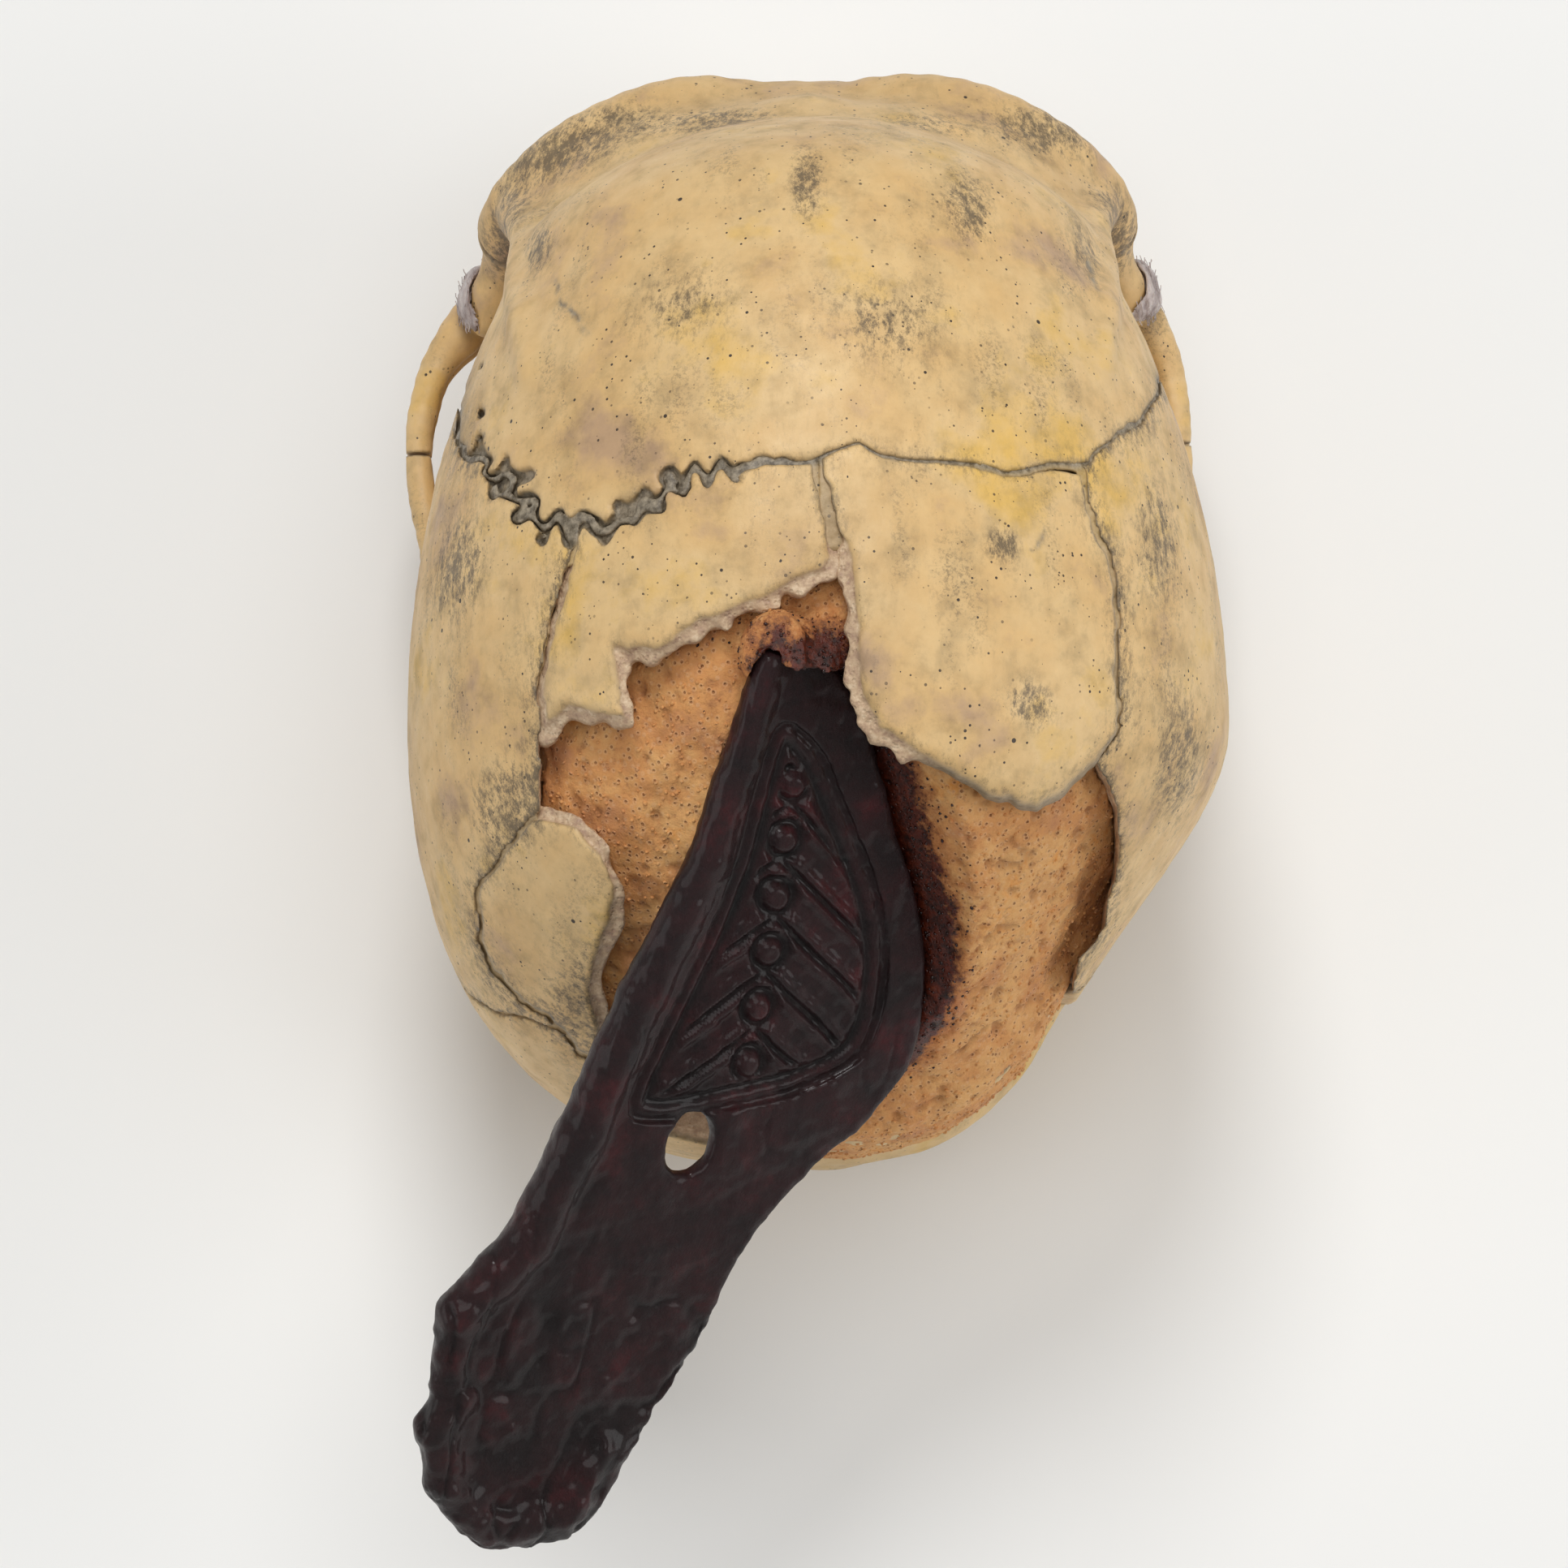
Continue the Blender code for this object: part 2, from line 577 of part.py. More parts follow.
def joined(name, pieces):
    shape = bmesh.new()
    for piece in pieces:
        shape.from_mesh(piece.data)
    mesh = bpy.data.meshes.new(name)
    shape.to_mesh(mesh)
    shape.free()
    discard(*pieces)
    return helper(name, mesh)


def islands(shape):
    left = set(shape.verts)
    found = []
    while left:
        front = [left.pop()]
        group = set(front)
        while front:
            vert = front.pop()
            for edge in vert.link_edges:
                other = edge.other_vert(vert)
                if other in left:
                    left.remove(other)
                    group.add(other)
                    front.append(other)
        found.append(group)
    return found


def keep_largest(target):
    # Cuts leave crumbs behind, so only the body with the most surface stays
    shape = bmesh.new()
    shape.from_mesh(target.data)
    groups = islands(shape)

    def area(group):
        faces = {face for vert in group for face in vert.link_faces}
        return sum(face.calc_area() for face in faces)

    groups.sort(key=area)
    for group in groups[:-1]:
        bmesh.ops.delete(shape, geom=list(group), context="VERTS")
    shape.to_mesh(target.data)
    shape.free()
    return target


def copy_of(source, name):
    return helper(name, source.data.copy())


def take(source, region, name):
    # The piece inside the region leaves the source, with a gap between them
    piece = keep_largest(cut(copy_of(source, name), region, "INTERSECT"))
    wide = grown(region, PIECE_GAP)
    cut(source, wide)
    discard(wide)
    return piece


def xy(shares):
    return [(x * HALF_WIDTH, y * HALF_LENGTH) for x, y in shares]


def xz(shares):
    return [(x * HALF_WIDTH, z * VAULT_TOP) for x, z in shares]


def yz(shares):
    return [(y * HALF_LENGTH, z * VAULT_TOP) for y, z in shares]


def head_forms():
    # The forms of the right side and the middle, before they are blended into one surface
    forms = [helper("vault", vault_mesh("vault", 0.0, *VAULT_RINGS))]
    right = [
        even_rod("brow", BROW_SHARES, BROW_RADIUS),
        even_rod("cheek_post", CHEEK_POST_SHARES, BROW_RADIUS),
        blob("cheek_body", place(CHEEK_BODY_SHARES), CHEEK_BODY_SIZE),
        even_rod("lower_rim", LOWER_RIM_SHARES, RIM_RADIUS),
    ]
    right.append(even_rod("orbit_roof", ORBIT_ROOF_SHARES, BROW_RADIUS))
    right.append(even_rod("nasal", NASAL_SHARES, NASAL_RADIUS))
    right.append(even_rod("frontal_process", FRONTAL_PROCESS_SHARES, RIM_RADIUS))
    right.append(even_rod("pillar", PILLAR_SHARES, PILLAR_RADIUS))
    right.append(blob("maxilla", place(MAXILLA_SHARES), MAXILLA_SIZE))
    for lift in (0.0, ALVEOLAR_LIFT):
        right.append(even_rod("alveolar", ALVEOLAR_SHARES, ALVEOLAR_RADIUS, lift))
    right.append(blob("wing", place(WING_SHARES), WING_SIZE))
    for pair in PTERYGOID_SHARES:
        right.append(even_rod("pterygoid", pair, PTERYGOID_RADIUS))
    mastoid_radii = [MASTOID_RADIUS, (MASTOID_RADIUS + MASTOID_TIP_RADIUS) / 2, MASTOID_TIP_RADIUS]
    right.append(rod("mastoid", [place(p) for p in MASTOID_SHARES], mastoid_radii))
    right.append(blob("ear", place(EAR_SHARES), EAR_SIZE))
    right.append(blob("condyle", place(CONDYLE_SHARES), CONDYLE_SIZE))
    left = [mirrored(form, form.name + "_left") for form in right]
    forms += right + left
    arch_radii = [ARCH_ROOT_RADIUS] + [ARCH_RADIUS] * (len(ARCH_SHARES) - 2) + [ARCH_ROOT_RADIUS]
    for shares in (ARCH_SHARES, LEFT_ARCH_SHARES):
        for lift in (-ARCH_LIFT, ARCH_LIFT):
            points = [place(p) + Vector((0, 0, lift)) for p in shares]
            forms.append(rod("arch", points, arch_radii))
    forms.append(block("palate", place(PALATE_SHARES), PALATE_SIZE))
    forms.append(block("nose_block", place(NOSE_BLOCK_SHARES), NOSE_BLOCK_SIZE))
    forms.append(blob("sphenoid_body", place(SPHENOID_BODY_SHARES), SPHENOID_BODY_SIZE))
    forms.append(blob("basilar", place(BASILAR_SHARES), BASILAR_SIZE))
    forms.append(blob("inion", place(INION_SHARES), INION_SIZE))
    return forms


def blend(source):
    remesh = source.modifiers.new("blend", "REMESH")
    remesh.mode = "VOXEL"
    remesh.voxel_size = VOXEL
    smooth = source.modifiers.new("smooth", "SMOOTH")
    smooth.factor = 0.5
    smooth.iterations = SMOOTH_STEPS
    decimate = source.modifiers.new("thin_out", "DECIMATE")
    decimate.ratio = FACE_KEEP_SHARE
    return settle(source)


def build_head():
    head = blend(joined("head", head_forms()))
    hollow = helper("hollow", vault_mesh("hollow", VAULT_WALL, *HOLLOW_RINGS))
    front = place(ORBIT_FRONT_SHARES)
    roof = front.z + (ORBIT_HEIGHT + VAULT_WALL) / 2
    floor = slice_block("hollow_floor", -BEYOND_SHARE, HOLLOW_STEP_SHARE, -VAULT_TOP, HOLLOW_FLOOR)
    front_floor = slice_block("hollow_front", HOLLOW_FRONT_SHARE, BEYOND_SHARE, -VAULT_TOP, roof)
    for below in (floor, front_floor):
        cut(hollow, below)
    cut(head, hollow)
    discard(hollow, floor, front_floor)
    back = place(ORBIT_BACK_SHARES)
    reach = back + (front - back) * ORBIT_REACH_SHARE
    wide = (ORBIT_WIDTH / 2 * ORBIT_MOUTH_SHARE, ORBIT_HEIGHT / 2 * ORBIT_MOUTH_SHARE)
    orbit = tapered("orbit", back, reach, (ORBIT_APEX, ORBIT_APEX), wide)
    other = mirrored(orbit, "orbit_left")
    for cutter in (orbit, other):
        cut(head, cutter)
    half = list(NOSE_OUTLINE_SHARES)
    outline = half + [(-x, z) for x, z in reversed(half[1:-1])]
    back_share, front_share = NOSE_DEPTH_SHARES
    nose = outline_block("nose", xz(outline), "Y", back_share * HALF_LENGTH, front_share * HALF_LENGTH)
    cut(head, nose)
    choana = block("choana", place(CHOANA_SHARES), CHOANA_SIZE)
    cut(head, choana)
    foramen_centre = place(FORAMEN_SHARES)
    past = Vector((0, 0, OVERRUN))
    oval = (FORAMEN_WIDTH / 2, FORAMEN_LENGTH / 2)
    foramen = tapered("foramen", foramen_centre - past, foramen_centre + past, oval, oval)
    cut(head, foramen)
    ear = place(EAR_SHARES)
    hole = (EAR_HOLE_RADIUS, EAR_HOLE_RADIUS)
    for side in (-1, 1):
        outer = Vector((side * (ear.x + OVERRUN), ear.y, ear.z))
        inner = Vector((side * EAR_HOLE_INNER_SHARE * HALF_WIDTH, ear.y, ear.z))
        pocket = tapered("ear_hole", inner, outer, hole, hole, EAR_SEGMENTS)
        cut(head, pocket)
        discard(pocket)
    discard(orbit, other, nose, choana, foramen)
    return keep_largest(head)


head = build_head()


def both_sides(shares):
    return [(-x, *rest) for x, *rest in shares]


def region_between(name, first, second):
    cut(first, second, "INTERSECT")
    discard(second)
    first.name = name
    return first


def side_region(shares, side, inner):
    # A block beside the head, outlined from the side, from an inner plane outwards
    outer = HALF_WIDTH + OVERRUN
    low, high = (inner, outer) if side > 0 else (-outer, -inner)
    return outline_block("side_region", yz(shares), "X", low, high)


def cheek_region(side):
    top = CHEEK_TOP_SHARES if side > 0 else both_sides(CHEEK_TOP_SHARES)
    front = CHEEK_FRONT_SHARES if side > 0 else both_sides(CHEEK_FRONT_SHARES)
    above = outline_block("cheek_above", xy(top), "Z", -VAULT_TOP, VAULT_TOP)
    before = outline_block("cheek_before", xz(front), "Y", 0.0, HALF_LENGTH + OVERRUN)
    return region_between("cheek_region", above, before)


def half_space(side, gap):
    # Everything on one side of the middle plane, past half the gap
    reach = (HALF_LENGTH + VAULT_TOP) * 2
    middle = Vector((side * (reach + gap) / 2, 0, 0))
    return block("half_space", middle, (reach, reach, reach))


def split_sides(source, left_name, right_name):
    pieces = {}
    for side, name in ((-1, left_name), (1, right_name)):
        half = half_space(side, PIECE_GAP)
        pieces[name] = keep_largest(cut(copy_of(source, name), half, "INTERSECT"))
        discard(half)
    discard(source)
    return pieces


def open_window():
    level = WINDOW_LEVEL_SHARE * VAULT_TOP
    return outline_block("window", xy(WINDOW_SHARES), "Z", level, VAULT_TOP + OVERRUN)


def saw_bones():
    # The bones come out of the head one after another, each within its own sutures
    bones = {}
    reach = HALF_WIDTH + OVERRUN
    top = VAULT_TOP + OVERRUN
    corners = [(BEYOND_SHARE, BEYOND_SHARE), (-BEYOND_SHARE, BEYOND_SHARE)]
    fronts = outline_block("frontal_above", xy(list(CORONAL_SHARES) + corners), "Z", -VAULT_TOP, top)
    below = outline_block("frontal_below", yz(FRONTAL_BELOW_SHARES), "X", -reach, reach)
    regions = [("frontal_bone", region_between("frontal_region", fronts, below))]
    for name, side in (("left_zygomatic_bone", -1), ("right_zygomatic_bone", 1)):
        regions.append((name, cheek_region(side)))
    for name, side in (("left_temporal_bone", -1), ("right_temporal_bone", 1)):
        regions.append((name, side_region(SQUAMA_SHARES, side, TEMPORAL_INNER)))
    for name, shares in zip(LOOSE_PIECES, (RIGHT_PLATE_SHARES, LEFT_PLATE_SHARES, FRAGMENT_SHARES)):
        regions.append((name, outline_block("loose_region", xy(shares), "Z", 0.0, top)))
    for name, region in regions:
        bones[name] = take(head, region, name)
        discard(region)
    window = open_window()
    cut(head, window)
    discard(window)
    more = [
        ("occipital_bone", outline_block("lambdoid", yz(LAMBDOID_SHARES), "X", -reach, reach)),
        ("ethmoid_bone", block("ethmoid", place(ETHMOID_SHARES), ETHMOID_SIZE)),
        ("sphenoid_bone", outline_block("sphenoid", yz(SPHENOID_SHARES), "X", -reach, reach)),
    ]
    for name, region in more:
        bones[name] = take(head, region, name)
        discard(region)
    nasal_outline = list(NASAL_FRONT_SHARES[1:-1])
    both = nasal_outline + [(-x, z) for x, z in reversed(nasal_outline)]
    nasal = outline_block(
        "nasal_region", xz(both), "Y", NASAL_BACK_SHARE * HALF_LENGTH, HALF_LENGTH + OVERRUN
    )
    nasals = take(head, nasal, "nasals")
    discard(nasal)
    bones.update(split_sides(nasals, "left_nasal_bone", "right_nasal_bone"))
    palate = block("palatine", place(PALATINE_SHARES), PALATINE_SIZE)
    palatines = take(head, palate, "palatines")
    discard(palate)
    bones.update(split_sides(palatines, "left_palatine_bone", "right_palatine_bone"))
    level = PARIETAL_LEVEL_SHARE * VAULT_TOP
    upper = slice_block("upper_region", -BEYOND_SHARE, PARIETAL_FRONT_SHARE, level, top)
    parietals = copy_of(head, "parietals")
    cut(parietals, upper, "INTERSECT")
    cut(head, upper)
    discard(upper)
    bones.update(split_sides(parietals, "left_parietal_bone", "right_parietal_bone"))
    bones.update(split_sides(head, "left_maxilla", "right_maxilla"))
    return bones


bones = saw_bones()


def tooth_mesh(name, width, depth, height, edge_share):
    # Rings from the root's tip down to the flat biting edge
    shape = bmesh.new()
    rings = len(TOOTH_RING_SHARES) - 1
    bmesh.ops.create_uvsphere(shape, u_segments=TOOTH_SEGMENTS, v_segments=rings, radius=1.0)
    total = ROOT_LENGTH + height
    for vert in shape.verts:
        ring = round(math.acos(max(-1.0, min(1.0, vert.co.z))) / math.pi * rings)
        drop_share, size_share = TOOTH_RING_SHARES[ring]
        around = math.atan2(vert.co.y, vert.co.x)
        x = math.copysign(abs(math.cos(around)) ** TOOTH_SQUARE_SHARE, math.cos(around))
        y = math.copysign(abs(math.sin(around)) ** TOOTH_SQUARE_SHARE, math.sin(around))
        thin = edge_share if ring >= rings - 1 else 1.0
        vert.co = Vector((
            x * size_share * width / 2, y * size_share * thin * depth / 2, -drop_share * total
        ))
    return mesh_from(shape, name)


def arch_station(distance, points):
    # The place and direction at a distance along the tooth row
    for start, end in zip(points, points[1:]):
        step = (end - start).length
        if distance <= step:
            return start.lerp(end, distance / step), (end - start).normalized()
        distance -= step
    last = (points[-1] - points[-2]).normalized()
    return points[-1] + last * distance, last


def build_teeth():
    teeth = {}
    points = [place(p) for p in ALVEOLAR_SHARES]
    top = points[0].z - ALVEOLAR_RADIUS + ROOT_LENGTH
    for side, word in ((-1, "left"), (1, "right")):
        distance = PIECE_GAP / 2
        sizes = zip(TOOTH_NAMES, TOOTH_WIDTH_SHARES, TOOTH_DEPTHS, TOOTH_HEIGHTS, TOOTH_EDGE_SHARES)
        for name, width_share, depth, height, edge in sizes:
            width = width_share * HALF_LENGTH
            spot, heading = arch_station(distance + width / 2, points)
            distance += width + TOOTH_GAP
            full = f"{word}_{name}"
            mesh = tooth_mesh(full, width, depth, height, edge)
            turn = math.atan2(heading.y, heading.x)
            mesh.transform(Matrix.Translation((spot.x, spot.y, top)) @ Matrix.Rotation(turn, 4, "Z"))
            if side < 0:
                mesh.transform(Matrix.Diagonal((-1.0, 1.0, 1.0, 1.0)))
            face_out(mesh)
            teeth[full] = helper(full, mesh)
    return teeth


def seat_teeth(teeth):
    # A short skull's last molars reach the sphenoid, so they have their room there too
    for name, tooth in teeth.items():
        jaw = bones["left_maxilla" if name.startswith("left") else "right_maxilla"]
        socket = grown(tooth, PIECE_GAP)
        for bone in (jaw, bones["sphenoid_bone"]):
            cut(bone, socket)
        discard(socket)
    for name in ("left_maxilla", "right_maxilla", "sphenoid_bone"):
        keep_largest(bones[name])


def blade_matrix():
    turn = Matrix.Rotation(BLADE_TURN, 4, "Z")
    slope = Matrix.Rotation(BLADE_SLOPE, 4, "X")
    tilt = Matrix.Rotation(BLADE_TILT, 4, "Y")
    return Matrix.Translation(place(BLADE_TIP_SHARES)) @ turn @ slope @ tilt


def blade_points(shares):
    return [(across * BLADE_REACH, -along * BLADE_LENGTH) for across, along in shares]


def build_blade():
    half = BLADE_THICKNESS / 2
    blade = outline_block("carved_blade", blade_points(BLADE_SHARES), "Z", -half, half)
    edge = [Vector((x, y, 0.0)) for x, y in blade_points(BLADE_SHARES[:BLADE_RIM_COUNT])]
    inward = Vector((BLADE_RIM_RADIUS / 2, 0, 0))
    radii = [BLADE_RIM_RADIUS * share for share in BLADE_RIM_SHARES]
    rim = rod("blade_rim", [point + inward for point in edge], radii)
    cut(blade, rim, "UNION", "EXACT")
    lobe_shares = BLADE_SHARES[BLADE_RIM_COUNT - 1:BLADE_LOBE_COUNT]
    lobe_edge = [Vector((x, y, 0.0)) for x, y in blade_points(lobe_shares)]
    centre = sum(lobe_edge, Vector()) / len(lobe_edge)
    pulled = [point.lerp(centre, BLADE_LOBE_INSET_SHARE) for point in lobe_edge]
    lobe = rod("blade_lobe", pulled, [BLADE_RIM_RADIUS * BLADE_LOBE_SHARE] * len(pulled))
    cut(blade, lobe, "UNION", "EXACT")
    panel = outline_block(
        "blade_panel", blade_points(BLADE_PANEL_SHARES), "Z", half - BLADE_PANEL_DEPTH, half + OVERRUN
    )
    cut(blade, panel, solver="EXACT")
    (across, along), = blade_points([BLADE_HOLE_SHARES])
    low = Vector((across, along, -OVERRUN))
    high = Vector((across, along, OVERRUN))
    round_size = (BLADE_HOLE_RADIUS, BLADE_HOLE_RADIUS)
    hole = tapered("blade_hole", low, high, round_size, round_size)
    cut(blade, hole, solver="EXACT")
    discard(rim, lobe, panel, hole)
    blade.data.transform(blade_matrix())
    return blade


def build_core(blade):
    # The filling lines the back of the vault and comes up into the open window
    under = VAULT_WALL + PIECE_GAP * 2
    core = helper("filler_core", vault_mesh("filler_core", under, *HOLLOW_RINGS))
    rise = helper("core_rise", vault_mesh("core_rise", CORE_RISE, *HOLLOW_RINGS))
    window = open_window()
    inner = grown(window, -CORE_MARGIN)
    cut(rise, inner, "INTERSECT")
    cut(core, rise, "UNION")
    mound = blob("core_mound", place(CORE_MOUND_SHARES), CORE_MOUND_SIZE)
    cut(core, mound, "UNION")
    room = helper("core_room", vault_mesh("core_room", VAULT_WALL + CORE_DEPTH, *ROOM_RINGS))
    cut(core, room)
    top = VAULT_TOP + OVERRUN
    ahead = slice_block("core_front", CORE_FRONT_SHARE, BEYOND_SHARE, -VAULT_TOP, top)
    level = CORE_LEVEL_SHARE * VAULT_TOP
    below = slice_block("core_below", -BEYOND_SHARE, BEYOND_SHARE, -VAULT_TOP, level)
    for outside in (ahead, below):
        cut(core, outside)
    slot = grown(blade, PIECE_GAP)
    cut(core, slot)
    keep_largest(cut(bones["lambda_fragment"], slot))
    # The blade's whole face lies open, in a trough of the filling
    face = outline_block("blade_face", blade_points(BLADE_SHARES), "Z", 0.0, HALF_WIDTH)
    face.data.transform(blade_matrix())
    trough = grown(face, CORE_MARGIN)
    cut(core, trough)
    discard(rise, window, inner, mound, room, ahead, below, slot, face, trough)
    return keep_largest(core)


def tip_plate(piece, angle, lift=0.0):
    # Loose pieces lie with a crack all round, tipped up about the suture in front of them
    hinge = place(PLATE_HINGE_SHARES)
    turn = Matrix.Translation(hinge) @ Matrix.Rotation(angle, 4, "X") @ Matrix.Translation(-hinge)
    centre = sum((vert.co for vert in piece.data.vertices), Vector()) / len(piece.data.vertices)
    shrink = Matrix.Diagonal((PLATE_FIT_SHARE, PLATE_FIT_SHARE, 1.0, 1.0))
    fit = Matrix.Translation(centre) @ shrink @ Matrix.Translation(-centre)
    piece.data.transform(Matrix.Translation((0, 0, lift)) @ turn @ fit)


def clear_loose(neighbours):
    # What lies round the loose pieces keeps a gap to them, where they lie now
    for name in LOOSE_PIECES:
        wide = grown(bones[name], PIECE_GAP)
        for neighbour in neighbours:
            keep_largest(cut(neighbour, wide))
        discard(wide)


def build_glue(side, cheek):
    centre = place(GLUE_SHARES)
    centre.x *= side
    glue = blob("glue", centre, (GLUE_RADIUS, GLUE_RADIUS * GLUE_LONG_SHARE, GLUE_RADIUS))
    wide = grown(cheek, PIECE_GAP)
    cut(glue, wide)
    discard(wide)
    return keep_largest(glue)


def build_vomer():
    # A thin upright plate in the nasal passage, between its roof and the palate
    half = VOMER_THICKNESS / 2
    centre = place(CHOANA_SHARES)
    length, height = CHOANA_SIZE[1], CHOANA_SIZE[2] - PIECE_GAP * 2
    points = [(centre.y + y * length, centre.z + z * height) for y, z in VOMER_SHARES]
    return outline_block("vomer", points, "X", -half, half)


teeth = build_teeth()
seat_teeth(teeth)
blade = build_blade()
tip_plate(bones["right_vault_plate"], RIGHT_PLATE_TIP)
tip_plate(bones["left_vault_plate"], LEFT_PLATE_TIP)
tip_plate(bones["lambda_fragment"], 0.0, FRAGMENT_LIFT)
core = build_core(blade)
clear_loose([core] + [bones[name] for name in LOOSE_NEIGHBOURS])
pieces = dict(bones)
pieces.update(teeth)
pieces["vomer"] = build_vomer()
pieces["filler_core"] = core
pieces["carved_blade"] = blade
pieces["left_cheek_glue"] = build_glue(-1, bones["left_zygomatic_bone"])
pieces["right_cheek_glue"] = build_glue(1, bones["right_zygomatic_bone"])


def tilted_lowest(sources, angle):
    turn = Matrix.Rotation(angle, 3, "X")
    return min((turn @ vert.co).z for source in sources for vert in source.data.vertices)


def rest_tilt(front, back):
    # The tilt at which the teeth and the base of the head reach equally low, by halving
    low, high = 0.0, REST_TILT_LIMIT
    for _ in range(REST_STEPS):
        middle = (low + high) / 2
        if tilted_lowest(front, middle) < tilted_lowest(back, middle):
            low = middle
        else:
            high = middle
    return (low + high) / 2


def rest_flats(angle):
    # What stands on the ground is worn flat there
    reach = (HALF_LENGTH + VAULT_TOP) * 2
    ground = tilted_lowest(pieces.values(), angle) + REST_FLAT
    slab = block("slab", Vector((0, 0, ground - reach / 2)), (reach, reach, reach))
    slab.data.transform(Matrix.Rotation(-angle, 4, "X"))
    for piece in pieces.values():
        if tilted_lowest([piece], angle) < ground:
            keep_largest(cut(piece, slab))
    discard(slab)
    return ground


def make_material(name, colour, roughness):
    material = bpy.data.materials.new(name)
    material.use_nodes = True
    shader = material.node_tree.nodes["Principled BSDF"]
    shader.inputs["Base Color"].default_value = (*colour, 1.0)
    shader.inputs["Roughness"].default_value = roughness
    shader.inputs["Metallic"].default_value = 0.0
    material.diffuse_color = (*colour, 1.0)
    material.roughness = roughness
    return material


def look_of(name):
    if name in teeth:
        return TOOTH_COLOUR, TOOTH_FINISH
    if name == "filler_core":
        return CORE_COLOUR, CORE_FINISH
    if name == "carved_blade":
        return BLADE_COLOUR, BLADE_FINISH
    if name.endswith("glue"):
        return GLUE_COLOUR, GLUE_FINISH
    return BONE_COLOUR, BONE_FINISH


def finish(name, source, root):
    # The piece's origin goes to the middle of its box
    mesh = source.data
    corners = np.array([vert.co for vert in mesh.vertices])
    middle = Vector((corners.min(axis=0) + corners.max(axis=0)) / 2)
    mesh.transform(Matrix.Translation(-middle))
    mesh.shade_smooth()
    mesh.set_sharp_from_angle(angle=SHARP_ANGLE)
    discard(source)
    made = link_object(name, mesh, skull_parts)
    made.parent = root
    made.location = middle
    mesh.materials.clear()
    mesh.materials.append(make_material(name, *look_of(name)))
    return made


tilt = rest_tilt(teeth.values(), [piece for name, piece in pieces.items() if name not in teeth])
ground = rest_flats(tilt)
turn = Matrix.Rotation(tilt, 3, "X")
corners = np.array([turn @ vert.co for piece in pieces.values() for vert in piece.data.vertices])
middle = (corners.min(axis=0) + corners.max(axis=0)) / 2
root = link_object("cranium_root", None, skull_parts)
root.rotation_euler = Euler((tilt, 0.0, 0.0))
root.location = (-middle[0], -middle[1], -ground)
for name, piece in pieces.items():
    finish(name, piece, root)
for left_over in list(cutters.objects):
    discard(left_over)
bpy.data.collections.remove(cutters)
print(f"tilt {math.degrees(tilt):.2f} degrees, ground {ground:.5f}, root {tuple(root.location)}")
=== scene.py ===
import math

import bpy
import numpy as np
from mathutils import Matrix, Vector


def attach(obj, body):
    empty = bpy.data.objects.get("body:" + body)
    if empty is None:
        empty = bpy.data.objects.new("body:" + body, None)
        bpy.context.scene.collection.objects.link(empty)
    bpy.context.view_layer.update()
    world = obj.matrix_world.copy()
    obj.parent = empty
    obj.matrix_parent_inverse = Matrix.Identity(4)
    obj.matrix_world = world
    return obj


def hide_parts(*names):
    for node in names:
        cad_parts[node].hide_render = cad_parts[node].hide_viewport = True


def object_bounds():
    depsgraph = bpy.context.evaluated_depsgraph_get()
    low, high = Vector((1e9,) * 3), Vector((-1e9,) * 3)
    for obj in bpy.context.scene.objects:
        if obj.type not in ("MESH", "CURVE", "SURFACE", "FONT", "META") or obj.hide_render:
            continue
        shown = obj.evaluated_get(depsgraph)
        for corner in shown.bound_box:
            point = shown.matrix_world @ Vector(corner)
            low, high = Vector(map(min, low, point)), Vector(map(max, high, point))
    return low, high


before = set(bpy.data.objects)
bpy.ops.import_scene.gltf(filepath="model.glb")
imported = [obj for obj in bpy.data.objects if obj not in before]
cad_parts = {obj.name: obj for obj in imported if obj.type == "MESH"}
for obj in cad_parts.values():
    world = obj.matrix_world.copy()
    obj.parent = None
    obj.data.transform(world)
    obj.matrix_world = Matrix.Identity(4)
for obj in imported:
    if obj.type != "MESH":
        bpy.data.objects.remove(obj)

import openvdb
from mathutils import Matrix, Quaternion, Vector

cadBox = [list(corner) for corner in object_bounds()]
print("frame: loaded")

# The skull's own measures, in mm from the line through the ear holes, x its right, y its face, z up
skull = {
    "halfWidth": 70.0, "halfLength": 94.5, "vaultTop": 120.5,
    "wall": 6.0, "hollowFloor": -18.0, "hollowFront": 27.8, "hollowStep": 41.0,
    "tilt": 8.75, "origin": (0.88622, 34.008093, 41.293882),  # how it stands in the frame
    "front": 0.91,  # the vault's own front, behind the brow
    "flatShare": 0.27, "flatFrom": -0.22, "flatTo": -0.76,  # the right side's back is flattened
    "lowerPowers": (2.0, 2.6),
    "grain": 1.0,  # voxel sizes below are multiplied by this
    "sections": (
        (0.984, 0.170, 0.450, 0.260, 0.335), (0.950, 0.320, 0.560, 0.205, 0.342),
        (0.900, 0.457, 0.670, 0.155, 0.350), (0.840, 0.585, 0.750, 0.110, 0.357),
        (0.760, 0.697, 0.800, 0.075, 0.362), (0.670, 0.740, 0.845, 0.040, 0.366),
        (0.535, 0.815, 0.900, -0.050, 0.373), (0.297, 0.915, 0.963, -0.150, 0.382),
        (0.030, 0.980, 1.000, -0.210, 0.390), (-0.216, 1.000, 0.995, -0.240, 0.398),
        (-0.454, 0.970, 0.934, -0.274, 0.382), (-0.660, 0.880, 0.805, -0.274, 0.350),
        (-0.822, 0.715, 0.647, -0.216, 0.315), (-0.930, 0.500, 0.498, -0.066, 0.282),
        (-0.984, 0.257, 0.382, 0.100, 0.266),
    ),
}
measure = np.array((skull["halfWidth"], skull["halfLength"], skull["vaultTop"]))
